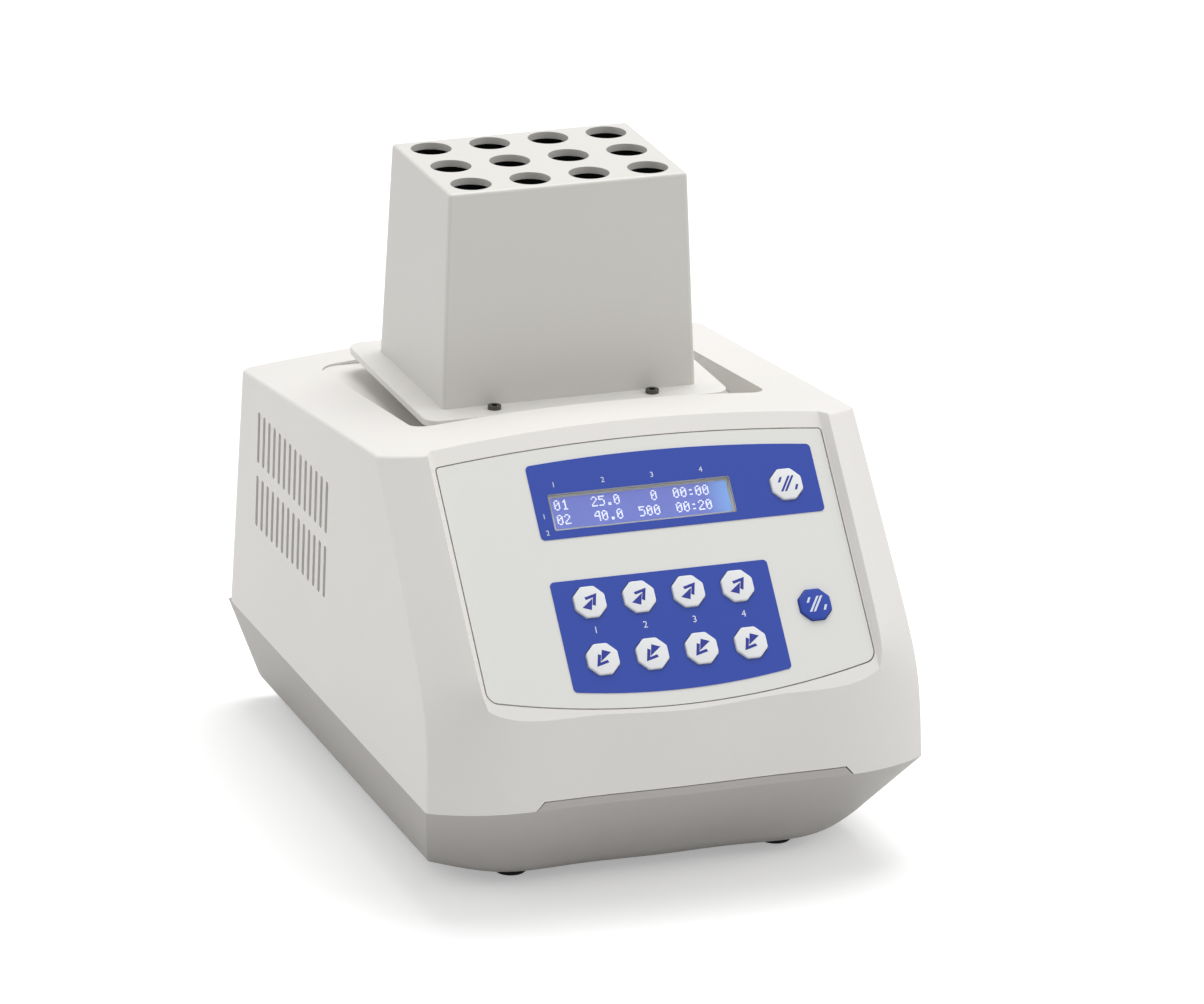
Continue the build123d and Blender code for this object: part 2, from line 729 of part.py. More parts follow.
def rubber_feet():
    feet = []
    for x, y in foot_points():
        pad = rod(x, y, 0, FOOT_HEIGHT, FOOT_RADIUS)
        pad = chamfer(pad.edges().filter_by(GeomType.CIRCLE).sort_by(Axis.Z)[0], 0.8)
        stem = rod(x, y, FOOT_HEIGHT, TRAY_TOP_OF_FLOOR, FOOT_STEM_RADIUS)
        head = rod(x, y, TRAY_TOP_OF_FLOOR, TRAY_TOP_OF_FLOOR + 1.5, FOOT_STEM_HEAD)
        feet.append(pad + stem + head)
    return group(feet)


def closing_screws():
    """Long screws that enter from under the tray and hold the housing."""
    seat = FOOT_HEIGHT + COUNTERBORE_DEPTH
    return [rod(x, y, seat - SCREW_HEAD_HEIGHT, seat, SCREW_HEAD_RADIUS)
            + rod(x, y, seat, PARTING_Z + SCREW_LENGTH, SCREW_RADIUS) for x, y in mirrored(CLOSING_X, CLOSING_Y)]


# Control panel, drawn on the bay plane: down the slope is minus local Y

def sharp_panel(inset):
    """Outline of the panel with sharp corners: straight sides, arched top and bowed bottom."""
    half = PANEL_HALF_X - inset
    top = -PANEL_TOP_SIDE - inset
    bottom = -PANEL_BOTTOM_SIDE + inset
    sides = [Line((-half, bottom), (-half, top)), Line((half, top), (half, bottom))]
    arched = ThreePointArc((-half, top), (0, -PANEL_TOP_MIDDLE - inset), (half, top))
    bowed = ThreePointArc((half, bottom), (0, -PANEL_BOTTOM_MIDDLE + inset), (-half, bottom))
    return make_face(Wire([sides[0], arched, sides[1], bowed]))


def panel_outline(inset):
    """Outline of the panel with its corners rounded."""
    face = sharp_panel(inset)
    face = fillet(face.vertices().sort_by(Axis.Y)[:2], PANEL_BOTTOM_CORNER - inset)
    return fillet(face.vertices().sort_by(Axis.Y)[-2:], PANEL_TOP_CORNER - inset)


def panel_recess():
    """Seat of the panel and the opening behind it."""
    seat = bay_slab(panel_outline(0.0), PANEL_BACK, FAR / 10)
    middle = -(PANEL_OPENING_TOP + PANEL_OPENING_BOTTOM) / 2
    opening = Pos(0, middle) * RectangleRounded(2 * PANEL_OPENING_HALF_X,
                                                PANEL_OPENING_BOTTOM - PANEL_OPENING_TOP, 3)
    return [seat, bay_slab(opening, -FAR / 20, 0)]


def octagon(across, corner):
    """Octagon with softened corners."""
    shape = RegularPolygon(across / 2, 8, major_radius=False, rotation=22.5)
    return fillet(shape.vertices(), corner)


def key_places():
    """Name and place of every key on the panel."""
    places = {}
    for i in range(KEY_COUNT):
        x = (i - (KEY_COUNT - 1) / 2) * KEY_PITCH_X
        places[f"key_up_{i + 1}"] = (x, -KEY_UP_ROW)
        places[f"key_down_{i + 1}"] = (x, -KEY_DOWN_ROW)
    places["key_run"] = (SIDE_KEY_X, -RUN_KEY_ROW)
    places["key_stop"] = (SIDE_KEY_X, -STOP_KEY_ROW)
    return places


def key_holes(low, high, clearance):
    """Holes for all keys, between two depths."""
    hole = octagon(KEY_ACROSS + 2 * clearance, KEY_CORNER)
    return [bay_slab(Pos(x, y) * hole, low, high) for x, y in key_places().values()]


def window_outline(shrink):
    middle = -(WINDOW_TOP + WINDOW_BOTTOM) / 2
    return Pos(0, middle) * RectangleRounded(2 * (WINDOW_HALF_X - shrink), WINDOW_BOTTOM - WINDOW_TOP - 2 * shrink,
                                             WINDOW_CORNER)


def control_panel():
    plate = bay_slab(panel_outline(PANEL_GAP), PANEL_BACK, 0)
    boss = Circle(BOARD_BOSS_RADIUS)
    bosses = [bay_slab(Pos(x, -y) * boss, BOARD_FACE, PANEL_BACK) for x, y in BOARD_BOSSES]
    holes = [bay_slab(Pos(x, -y) * Circle(BOARD_SCREW_RADIUS + SCREW_CLEARANCE), BOARD_FACE - 1, PANEL_BACK)
             for x, y in BOARD_BOSSES]
    window = [bay_slab(window_outline(0), -WINDOW_INSET - WINDOW_THICKNESS, 1),
              bay_slab(window_outline(WINDOW_LEDGE), PANEL_BACK - 1, 1)]
    return (plate + bosses - holes - window - key_holes(PANEL_BACK - 1, 1, KEY_CLEARANCE)).solid()


def film(left, right, top, bottom):
    """Blue film with the key holes in it. Where it nears the panel's edge, it follows that edge."""
    band = Pos((left + right) / 2, -(top + bottom) / 2) * Rectangle(right - left, bottom - top)
    face = sharp_panel(FILM_MARGIN) & band
    face = fillet(face.vertices(), FILM_CORNER)
    return bay_slab(face, 0, FILM_THICKNESS) - key_holes(-1, 1, KEY_CLEARANCE)


def panel_overlays():
    """The film round the display and the film round the keypad."""
    upper = film(DISPLAY_FILM_LEFT, PANEL_HALF_X - FILM_MARGIN, 0, DISPLAY_FILM_BOTTOM)
    upper -= bay_slab(window_outline(0), -1, 1)
    return group([upper, film(-KEYPAD_FILM_HALF_X, KEYPAD_FILM_HALF_X, KEYPAD_FILM_TOP, PANEL_BOTTOM_MIDDLE)])


def display_window():
    top = -WINDOW_INSET
    return bay_slab(window_outline(WINDOW_GAP), top - WINDOW_THICKNESS, top)


def lcd_outline(margin):
    middle = -(WINDOW_TOP + WINDOW_BOTTOM) / 2
    half_y = (WINDOW_BOTTOM - WINDOW_TOP) / 2 + margin
    half_x = LCD_HALF_X - LCD_MARGIN + margin
    return Pos(0, middle) * Rectangle(2 * half_x, 2 * half_y)


def lcd_module():
    face = PANEL_BACK - LCD_FACE_GAP
    frame = bay_slab(lcd_outline(LCD_MARGIN), BOARD_FACE, face)
    return frame - bay_slab(lcd_outline(LCD_GLASS_MARGIN), face - LCD_GLASS_THICKNESS, face + 1)


def lcd_glass():
    face = PANEL_BACK - LCD_FACE_GAP
    return bay_slab(lcd_outline(LCD_GLASS_MARGIN), face - LCD_GLASS_THICKNESS, face)


def key(x, y):
    """Keycap with a flange behind the panel and a stem that reaches its switch."""
    cap_bottom = PANEL_BACK - KEY_REST_GAP
    flange_bottom = cap_bottom - KEY_FLANGE
    stem_end = BOARD_FACE + SWITCH_HEIGHT + SWITCH_GAP + KEY_TRAVEL
    cap = bay_slab(Pos(x, y) * octagon(KEY_ACROSS, KEY_CORNER), cap_bottom, KEY_PROUD)
    flange = bay_slab(Pos(x, y) * octagon(KEY_FLANGE_ACROSS, KEY_CORNER), flange_bottom, cap_bottom)
    stem = bay_slab(Pos(x, y) * Circle(KEY_STEM_RADIUS), stem_end, flange_bottom)
    return cap + flange + stem


def keypad_board():
    middle = -(BOARD_TOP + BOARD_BOTTOM) / 2
    outline = Pos(0, middle) * RectangleRounded(2 * BOARD_HALF_X, BOARD_BOTTOM - BOARD_TOP, 2)
    board = bay_slab(outline, BOARD_BACK, BOARD_FACE)
    hole = Circle(BOARD_SCREW_RADIUS + SCREW_CLEARANCE)
    board -= [bay_slab(Pos(x, -y) * hole, BOARD_BACK - 1, BOARD_FACE + 1) for x, y in BOARD_BOSSES]
    return group([board] + key_switches())


def board_screws():
    screws = []
    for x, y in BOARD_BOSSES:
        head = bay_slab(Pos(x, -y) * Circle(2 * BOARD_SCREW_RADIUS), BOARD_BACK - SCREW_HEAD_HEIGHT, BOARD_BACK)
        shank = bay_slab(Pos(x, -y) * Circle(BOARD_SCREW_RADIUS), BOARD_BACK, PANEL_BACK - 1)
        screws.append(head + shank)
    return screws


def key_switches():
    """One tactile switch under each key."""
    body = Rectangle(SWITCH_SIZE, SWITCH_SIZE)
    return [bay_slab(Pos(x, y) * body, BOARD_FACE, BOARD_FACE + SWITCH_HEIGHT) for x, y in key_places().values()]


# Block, cover and flange

def well_points():
    """Centres of the wells, back row first."""
    points = []
    for row in range(WELL_ROWS):
        for column in range(WELL_COLUMNS):
            x = (column - (WELL_COLUMNS - 1) / 2) * WELL_PITCH
            y = BLOCK_Y + ((WELL_ROWS - 1) / 2 - row) * WELL_PITCH
            points.append((x, y))
    return points


def tube_block():
    body = block(-BLOCK_HALF_X, BLOCK_HALF_X, BLOCK_Y - BLOCK_HALF_Y, BLOCK_Y + BLOCK_HALF_Y, BLOCK_Z, BLOCK_TOP)
    straight_end = BLOCK_TOP - WELL_STRAIGHT
    wells = []
    for x, y in well_points():
        wells.append(rod(x, y, straight_end, BLOCK_TOP + 1, WELL_RADIUS))
        cone = Cone(WELL_TIP_RADIUS, WELL_RADIUS, WELL_CONE)
        wells.append(Pos(x, y, straight_end - WELL_CONE / 2) * cone)
    return (body - wells).solid()


def cover_solid(wall, top):
    """Drafted box of the cover, drawn in by a wall thickness."""
    half_x = COVER_TOP_HALF_X - wall
    half_y = COVER_TOP_HALF_Y - wall
    growth = COVER_DRAFT
    low = Pos(0, BLOCK_Y, FLANGE_TOP) * Rectangle(2 * (half_x + growth), 2 * (half_y + growth))
    high = Pos(0, BLOCK_Y, top) * Rectangle(2 * half_x, 2 * half_y)
    return loft([low.face(), high.face()], ruled=True)


def block_cover():
    outer = cover_solid(0.0, COVER_TOP_Z)
    outer = fillet(outer.edges().filter_by(lambda e: e.center().Z > FLANGE_TOP + 1), COVER_EDGE)
    inner = cover_solid(COVER_WALL, COVER_INNER_TOP)
    holes = [rod(x, y, COVER_INNER_TOP - 1, COVER_TOP_Z + 1, COVER_HOLE_RADIUS) for x, y in well_points()]
    return (outer - inner - holes).solid()


def flange_screw_points():
    return mirrored(FLANGE_SCREW_X, (BLOCK_Y - FLANGE_SCREW_Y, BLOCK_Y + FLANGE_SCREW_Y))


def cover_flange():
    plate = rounded_plate(FLANGE_HALF_X, FLANGE_HALF_Y, FLANGE_CORNER, FLANGE_Z, FLANGE_TOP, BLOCK_Y)
    plate = fillet(plate.faces().sort_by(Axis.Z)[-1].edges(), FLANGE_EDGE)
    opening = block(-BLOCK_HALF_X - COVER_GAP, BLOCK_HALF_X + COVER_GAP, BLOCK_Y - BLOCK_HALF_Y - COVER_GAP,
                    BLOCK_Y + BLOCK_HALF_Y + COVER_GAP, FLANGE_Z - 1, FLANGE_TOP + 1)
    return (plate - opening - [screw_hole(x, y, FLANGE_TOP) for x, y in flange_screw_points()]).solid()


def flange_screws():
    return group([screw(x, y, FLANGE_TOP) for x, y in flange_screw_points()])


def flange_posts():
    posts = []
    for x, y in flange_screw_points():
        posts.append(rod(x, y, CARRIAGE_TOP, FLANGE_Z, FLANGE_POST_RADIUS) - screw_hole(x, y, FLANGE_TOP))
    return group(posts)


def sensor_z():
    return SPREADER_Z + SPREADER_THICKNESS / 2


def heat_spreader():
    plate = block(-BLOCK_HALF_X, BLOCK_HALF_X, BLOCK_Y - BLOCK_HALF_Y, BLOCK_Y + BLOCK_HALF_Y, SPREADER_Z, BLOCK_Z)
    hole = Pos(BLOCK_HALF_X - SENSOR_DEPTH / 2, BLOCK_Y, sensor_z()) * Rot(0, 90, 0) * Cylinder(
        SENSOR_RADIUS + PROBE_CLEARANCE, SENSOR_DEPTH)
    return plate - hole


def temperature_sensor():
    length = SENSOR_DEPTH - SENSOR_RADIUS
    probe = Pos(BLOCK_HALF_X - length / 2, BLOCK_Y, sensor_z()) * Rot(0, 90, 0) * Cylinder(SENSOR_RADIUS, length)
    head = Pos(BLOCK_HALF_X + SENSOR_HEAD_LENGTH / 2, BLOCK_Y, sensor_z()) * Rot(0, 90, 0) * Cylinder(
        SENSOR_HEAD, SENSOR_HEAD_LENGTH)
    return probe + head


def thermoelectric_modules():
    half = MODULE_SIZE / 2
    return group([block(x - half, x + half, BLOCK_Y - half, BLOCK_Y + half, SINK_TOP, SPREADER_Z)
                  for x in (-MODULE_X, MODULE_X)])


def heat_sink():
    """Finned sink that stands on the carriage on its two outer rails."""
    base = block(-SINK_HALF_X, SINK_HALF_X, BLOCK_Y - SINK_HALF_Y, BLOCK_Y + SINK_HALF_Y, SINK_TOP - SINK_BASE, SINK_TOP)
    rails = [block(side * SINK_HALF_X - SINK_RAIL / 2 - side * SINK_RAIL / 2,
                   side * SINK_HALF_X + SINK_RAIL / 2 - side * SINK_RAIL / 2,
                   BLOCK_Y - SINK_HALF_Y, BLOCK_Y + SINK_HALF_Y, CARRIAGE_TOP, SINK_TOP - SINK_BASE)
             for side in (-1, 1)]
    fins = []
    for i in range(SINK_FIN_COUNT):
        x = (i - (SINK_FIN_COUNT - 1) / 2) * SINK_FIN_PITCH
        fins.append(block(x - SINK_FIN / 2, x + SINK_FIN / 2, BLOCK_Y - SINK_HALF_Y, BLOCK_Y + SINK_HALF_Y,
                          CARRIAGE_TOP + SINK_FOOT_GAP, SINK_TOP - SINK_BASE))
    return (base + rails + fins).solid()


# Orbiting drive

def idler_points():
    """Fixed axes of the idler cranks."""
    return mirrored(IDLER_X, (SPINDLE_Y - IDLER_Y, SPINDLE_Y + IDLER_Y))


def carriage_plate():
    plate = rounded_plate(CARRIAGE_HALF_X, CARRIAGE_HALF_Y, CARRIAGE_CORNER, CARRIAGE_Z, CARRIAGE_TOP, BLOCK_Y)
    plate += rod(0, BLOCK_Y, CARRIAGE_BEARING_Z, CARRIAGE_Z, CARRIAGE_HUB_RADIUS)
    cuts = [rod(0, BLOCK_Y, CARRIAGE_BEARING_Z - 1, CARRIAGE_BEARING_Z + BEARING_HEIGHT, BEARING_OUTER)]
    for x, y in idler_points():
        bore = IDLER_RADIUS + IDLER_PIN_CLEARANCE
        cuts.append(rod(x, y + ORBIT_RADIUS, CARRIAGE_Z - 1, CARRIAGE_TOP + 1, bore))
    return (plate - cuts).solid()


def carriage_bearing():
    return bearing(0, BLOCK_Y, CARRIAGE_BEARING_Z)


def bearing(x, y, z):
    return ring(x, y, z, z + BEARING_HEIGHT, BEARING_OUTER, SHAFT_RADIUS + RUNNING_CLEARANCE)


def deck_bearings():
    """Both bearings of the main shaft, and the flanged bearings of the idler cranks."""
    shaft = [bearing(0, SPINDLE_Y, HUB_BOTTOM), bearing(0, SPINDLE_Y, HUB_TOP - BEARING_HEIGHT)]
    return group(shaft + idler_bearings())


def bearing_housing():
    """Hub that hangs through the deck, with a bearing seat at each end."""
    hub = rod(0, SPINDLE_Y, HUB_BOTTOM, HUB_TOP, HUB_WALL_RADIUS)
    hub += rod(0, SPINDLE_Y, DECK_Z - HOUSING_FLANGE_THICKNESS, DECK_Z, HOUSING_FLANGE_RADIUS)
    hub -= rod(0, SPINDLE_Y, HUB_BOTTOM - 1, HUB_TOP + 1, BEARING_OUTER - BEARING_SHOULDER)
    for z in (HUB_BOTTOM, HUB_TOP - BEARING_HEIGHT):
        hub -= rod(0, SPINDLE_Y, z, z + BEARING_HEIGHT, BEARING_OUTER)
    return hub


def main_shaft():
    """Shaft with the eccentric pin that carries the block round its orbit."""
    shaft = rod(0, SPINDLE_Y, HUB_BOTTOM - SHAFT_TAIL, CRANK_Z, SHAFT_RADIUS)
    web = rod(0, SPINDLE_Y, CRANK_Z, CRANK_Z + CRANK_WEB, CRANK_WEB_RADIUS)
    shoulder = rod(0, BLOCK_Y, CRANK_Z + CRANK_WEB, CRANK_TOP, CRANK_SHOULDER_RADIUS)
    pin = rod(0, BLOCK_Y, CRANK_TOP, CARRIAGE_BEARING_Z + BEARING_HEIGHT - CARRIAGE_CAP, SHAFT_RADIUS)
    return shaft + web + shoulder + pin


def pulley(y, radius, bore):
    """Flat belt pulley with a lip at each end."""
    wheel = rod(0, y, PULLEY_Z, PULLEY_Z + PULLEY_HEIGHT, radius)
    for z in (PULLEY_Z, PULLEY_Z + PULLEY_HEIGHT - PULLEY_LIP_HEIGHT):
        wheel += rod(0, y, z, z + PULLEY_LIP_HEIGHT, radius + PULLEY_LIP)
    return wheel - rod(0, y, PULLEY_Z - 1, PULLEY_Z + PULLEY_HEIGHT + 1, bore)


def shaft_pulley():
    return pulley(SPINDLE_Y, PULLEY_RADIUS, SHAFT_RADIUS)


def motor_pulley():
    return pulley(MOTOR_Y, MOTOR_PULLEY_RADIUS, MOTOR_SHAFT_RADIUS)


def drive_belt():
    def loop(extra):
        big = Pos(0, SPINDLE_Y) * CenterArc((0, 0), PULLEY_RADIUS + extra, 0, 360)
        small = Pos(0, MOTOR_Y) * CenterArc((0, 0), MOTOR_PULLEY_RADIUS + extra, 0, 360)
        return make_hull(big.edges() + small.edges())
    middle = PULLEY_Z + PULLEY_HEIGHT / 2
    face = loop(BELT_GAP + BELT_THICKNESS) - loop(BELT_GAP)
    return extrude(Pos(0, 0, middle - BELT_WIDTH / 2) * face, BELT_WIDTH)


def counterweight():
    """Half disc on the side away from the eccentric pin."""
    disc = rod(0, SPINDLE_Y, WEIGHT_Z, CRANK_Z, WEIGHT_RADIUS)
    front_half = block(-WEIGHT_RADIUS, WEIGHT_RADIUS, SPINDLE_Y - WEIGHT_RADIUS, SPINDLE_Y, WEIGHT_Z, CRANK_Z)
    weight = (disc & front_half) + rod(0, SPINDLE_Y, WEIGHT_Z, CRANK_Z, WEIGHT_HUB)
    return weight - rod(0, SPINDLE_Y, WEIGHT_Z - 1, CRANK_Z + 1, SHAFT_RADIUS)


def idler_bearings():
    """Flanged bearings pressed into the deck."""
    bushes = []
    for x, y in idler_points():
        bush = rod(x, y, DECK_Z - IDLER_BUSH_DROP, DECK_TOP, IDLER_BUSH_RADIUS)
        bush += rod(x, y, DECK_TOP, DECK_TOP + IDLER_BUSH_FLANGE_HEIGHT, IDLER_BUSH_FLANGE)
        bore = rod(x, y, DECK_Z - IDLER_BUSH_DROP - 1, DECK_TOP + IDLER_BUSH_FLANGE_HEIGHT + 1,
                   IDLER_RADIUS + RUNNING_CLEARANCE)
        bushes.append(bush - bore)
    return bushes


def idler_crank(x, y):
    """Small crank with the same throw as the main shaft."""
    web_z = DECK_TOP + IDLER_BUSH_FLANGE_HEIGHT + SHOULDER_GAP
    journal = rod(x, y, DECK_Z - IDLER_BUSH_DROP, web_z, IDLER_RADIUS)
    web = rod(x, y, web_z, web_z + IDLER_WEB, IDLER_BUSH_RADIUS)
    pin = rod(x, y + ORBIT_RADIUS, web_z + IDLER_WEB, CARRIAGE_TOP - IDLER_PIN_SHORT, IDLER_RADIUS)
    return journal + web + pin


# Motor, deck and chassis

def motor_housing():
    top = DECK_Z
    bottom = top - MOTOR_HEIGHT
    can = rod(0, MOTOR_Y, bottom, top, MOTOR_RADIUS)
    can = fillet(can.edges().filter_by(GeomType.CIRCLE), 1.5)
    hollow = rod(0, MOTOR_Y, bottom + MOTOR_END, top - MOTOR_END, MOTOR_RADIUS - MOTOR_WALL)
    bore = rod(0, MOTOR_Y, bottom + MOTOR_END - MOTOR_TAIL, top + 1, MOTOR_SHAFT_RADIUS + RUNNING_CLEARANCE)
    return can - hollow - bore


def motor_middle():
    return DECK_Z - MOTOR_HEIGHT / 2


def motor_stator():
    z = motor_middle()
    return ring(0, MOTOR_Y, z - STATOR_HEIGHT / 2, z + STATOR_HEIGHT / 2, MOTOR_RADIUS - MOTOR_WALL,
                ROTOR_RADIUS + STATOR_GAP)


def motor_shaft():
    z = motor_middle()
    bottom = DECK_Z - MOTOR_HEIGHT + MOTOR_END - MOTOR_TAIL + SHOULDER_GAP
    shaft = rod(0, MOTOR_Y, bottom, PULLEY_Z + PULLEY_HEIGHT, MOTOR_SHAFT_RADIUS)
    return shaft + rod(0, MOTOR_Y, z - ROTOR_HEIGHT / 2, z + ROTOR_HEIGHT / 2, ROTOR_RADIUS)


def pillar_points():
    return mirrored(PILLAR_X, (SPINDLE_Y - PILLAR_Y, SPINDLE_Y + PILLAR_Y))


def drive_deck():
    middle = (DECK_FRONT + DECK_BACK) / 2
    plate = rounded_plate(DECK_HALF_X, (DECK_BACK - DECK_FRONT) / 2, DECK_CORNER, DECK_Z, DECK_TOP, middle)
    cuts = [rod(0, SPINDLE_Y, DECK_Z - 1, DECK_TOP + 1, HUB_WALL_RADIUS),
            rod(0, MOTOR_Y, DECK_Z - 1, DECK_TOP + 1, MOTOR_CLEARANCE_HOLE)]
    cuts += [rod(x, y, DECK_Z - 1, DECK_TOP + 1, IDLER_BUSH_RADIUS) for x, y in idler_points()]
    cuts += [screw_hole(x, y, DECK_TOP) for x, y in pillar_points()]
    return plate - cuts


def deck_pillars():
    pillars = []
    for x, y in pillar_points():
        hexagon = Pos(x, y, CHASSIS_TOP) * RegularPolygon(PILLAR_ACROSS / 2, 6, major_radius=False)
        pillar = extrude(hexagon, PILLAR_LENGTH) - screw_hole(x, y, DECK_TOP)
        pillars.append(pillar - rod(x, y, CHASSIS_TOP - 1, CHASSIS_TOP + SCREW_LENGTH, SCREW_RADIUS + SCREW_CLEARANCE))
    return group(pillars)


def deck_screws():
    """Screws into both ends of the pillars."""
    top = [screw(x, y, DECK_TOP) for x, y in pillar_points()]
    low = [rod(x, y, CHASSIS_Z - SCREW_HEAD_HEIGHT, CHASSIS_Z, SCREW_HEAD_RADIUS)
           + rod(x, y, CHASSIS_Z, CHASSIS_TOP + SCREW_LENGTH - 1, SCREW_RADIUS) for x, y in pillar_points()]
    return top + low


def chassis_screws():
    """All screws inside: chassis to tray, pillars to chassis and deck, keypad board to panel."""
    seated = [screw(x, y, CHASSIS_TOP, SCREW_LENGTH - 2) for x, y in mirrored(CHASSIS_BOSS_X, CHASSIS_BOSS_Y)]
    return group(seated + deck_screws() + board_screws())


def chassis_plate():
    middle = (CHASSIS_FRONT + CHASSIS_BACK) / 2
    plate = rounded_plate(CHASSIS_HALF_X, (CHASSIS_BACK - CHASSIS_FRONT) / 2, 6, CHASSIS_Z, CHASSIS_TOP, middle)
    hole = SCREW_RADIUS + SCREW_CLEARANCE
    points = mirrored(CHASSIS_BOSS_X, CHASSIS_BOSS_Y) + pillar_points()
    plate -= [rod(x, y, CHASSIS_Z - 1, CHASSIS_TOP + 1, hole) for x, y in points]
    studs = [rod(x, y, CHASSIS_TOP, CHASSIS_TOP + STANDOFF_HEIGHT, STANDOFF_RADIUS)
             for x, y in supply_corners() + main_board_corners()]
    return (plate + studs).solid()


# Electronics

def supply_corners():
    return [(x, y) for x in (SUPPLY_LEFT + STANDOFF_INSET, SUPPLY_RIGHT - STANDOFF_INSET)
            for y in (SUPPLY_FRONT + STANDOFF_INSET, SUPPLY_BACK - STANDOFF_INSET)]


def main_board_corners():
    return [(x, y) for x in (MAIN_BOARD_LEFT + STANDOFF_INSET, MAIN_BOARD_RIGHT - STANDOFF_INSET)
            for y in (MAIN_BOARD_FRONT + STANDOFF_INSET, MAIN_BOARD_BACK - STANDOFF_INSET)]


def power_supply():
    z = CHASSIS_TOP + STANDOFF_HEIGHT
    case = block(SUPPLY_LEFT, SUPPLY_RIGHT, SUPPLY_FRONT, SUPPLY_BACK, z, z + SUPPLY_HEIGHT)
    case = chamfer(case.edges().filter_by(Axis.X).sort_by(Axis.Z)[-2:], 3)
    slots = []
    for i in range(8):
        x = SUPPLY_LEFT + 12 + i * 6
        slots.append(block(x, x + 2.5, SUPPLY_FRONT + 10, SUPPLY_BACK - 10, z + SUPPLY_HEIGHT - 2, z + SUPPLY_HEIGHT + 1))
    return case - slots


def main_board():
    z = CHASSIS_TOP + STANDOFF_HEIGHT
    top = z + BOARD_THICKNESS
    board = block(MAIN_BOARD_LEFT, MAIN_BOARD_RIGHT, MAIN_BOARD_FRONT, MAIN_BOARD_BACK, z, top)
    chip = block(MAIN_BOARD_LEFT + 10, MAIN_BOARD_LEFT + 24, MAIN_BOARD_BACK - 26, MAIN_BOARD_BACK - 12, top, top + 2)
    socket = block(RIBBON_X - RIBBON_WIDTH / 2 - 2, RIBBON_X + RIBBON_WIDTH / 2 + 2, MAIN_BOARD_FRONT + 3,
                   MAIN_BOARD_FRONT + 9, top, top + COMPONENT_HEIGHT / 2)
    cans = [rod(MAIN_BOARD_RIGHT - 12, MAIN_BOARD_BACK - 12 - 12 * i, top, top + COMPONENT_HEIGHT, 4) for i in range(3)]
    return (board + chip + socket + cans).solid()


def ribbon_cable():
    """Flat cable from the keypad board down to the main board."""
    socket_top = CHASSIS_TOP + STANDOFF_HEIGHT + BOARD_THICKNESS + COMPONENT_HEIGHT / 2
    start_y = MAIN_BOARD_FRONT + 6
    end = on_bay(Pos(0, -BOARD_BOTTOM + 12, BOARD_BACK - RIBBON_THICKNESS) * Vertex(0, 0, 0)).center()
    bend = end.Z - 14
    middle = [(start_y, socket_top), (start_y, bend), (end.Y, end.Z)]
    half = RIBBON_THICKNESS / 2
    outline = Polyline((middle[0][0] - half, middle[0][1]), (middle[1][0] - half, middle[1][1]),
                       (middle[2][0] - half, middle[2][1]), (middle[2][0] + half, middle[2][1] + half),
                       (middle[1][0] + half, middle[1][1]), (middle[0][0] + half, middle[0][1]), close=True)
    face = Plane.YZ.location * make_face(outline)
    return extrude(Pos(RIBBON_X - RIBBON_WIDTH / 2, 0, 0) * face, RIBBON_WIDTH)


# Rear panel and what it carries

def rear_rectangle(half_x, low, high, y0, y1, corner, x=0.0):
    """Upright plate in the XZ plane, between two Y values."""
    face = Pos(x, y1, (low + high) / 2) * Plane.XZ.location * RectangleRounded(2 * half_x, high - low, corner)
    return extrude(face, y1 - y0)


def fan_mounts():
    return [(FAN_X + a * FAN_MOUNT, FAN_Z + b * FAN_MOUNT) for a in (-1, 1) for b in (-1, 1)]


def rear_panel():
    half = REAR_FRAME_HALF_X - REAR_PLATE_INSET
    plate = rear_rectangle(half, REAR_FRAME_LOW + REAR_PLATE_INSET, REAR_FRAME_HIGH - REAR_PLATE_INSET,
                           REAR_PLATE_Y, REAR_OUTSIDE, 3)
    small = SCREW_RADIUS + SCREW_CLEARANCE
    cuts = [rod_y(FAN_X, FAN_Z, REAR_PLATE_Y - 1, REAR_OUTSIDE + 1, FAN_BORE)]
    cuts += [rod_y(x, z, REAR_PLATE_Y - 1, REAR_OUTSIDE + 1, small) for x, z in fan_mounts() + rear_screw_points()]
    cuts.append(inlet_body(DRAWER_CLEARANCE, REAR_PLATE_Y - 1, REAR_OUTSIDE + 1))
    cuts.append(switch_body(DRAWER_CLEARANCE, REAR_PLATE_Y - 1, REAR_OUTSIDE + 1))
    return plate - cuts


def rear_screws():
    """Screws from inside, through the panel into the housing's frame."""
    screws = []
    for x, z in rear_screw_points():
        head = rod_y(x, z, REAR_PLATE_Y - SCREW_HEAD_HEIGHT, REAR_PLATE_Y, SCREW_HEAD_RADIUS)
        screws.append(head + rod_y(x, z, REAR_PLATE_Y, REAR_PLATE_Y + SCREW_LENGTH - 1, SCREW_RADIUS))
    return screws


def fan_frame():
    half = FAN_SIZE / 2
    y0 = REAR_PLATE_Y - FAN_DEPTH
    frame = rear_rectangle(half, FAN_Z - half, FAN_Z + half, y0, REAR_PLATE_Y, FAN_CORNER, FAN_X)
    frame -= rod_y(FAN_X, FAN_Z, y0 - 1, REAR_PLATE_Y + 1, FAN_BORE)
    hub = rod_y(FAN_X, FAN_Z, y0, y0 + FAN_SPIDER, FAN_HUB)
    arms = [Pos(FAN_X, y0 + FAN_SPIDER / 2, FAN_Z) * Rot(0, angle, 0) * Box(2 * FAN_BORE + 1, FAN_SPIDER, FAN_SPIDER)
            for angle in (45, 135)]
    axle_hole = rod_y(FAN_X, FAN_Z, y0 + FAN_SPIDER / 2, y0 + FAN_SPIDER + 1, FAN_AXLE_RADIUS + RUNNING_CLEARANCE)
    holes = [rod_y(x, z, y0 - 1, REAR_PLATE_Y + 1, SCREW_RADIUS + SCREW_CLEARANCE) for x, z in fan_mounts()]
    return (frame + hub + arms - axle_hole - holes).solid()


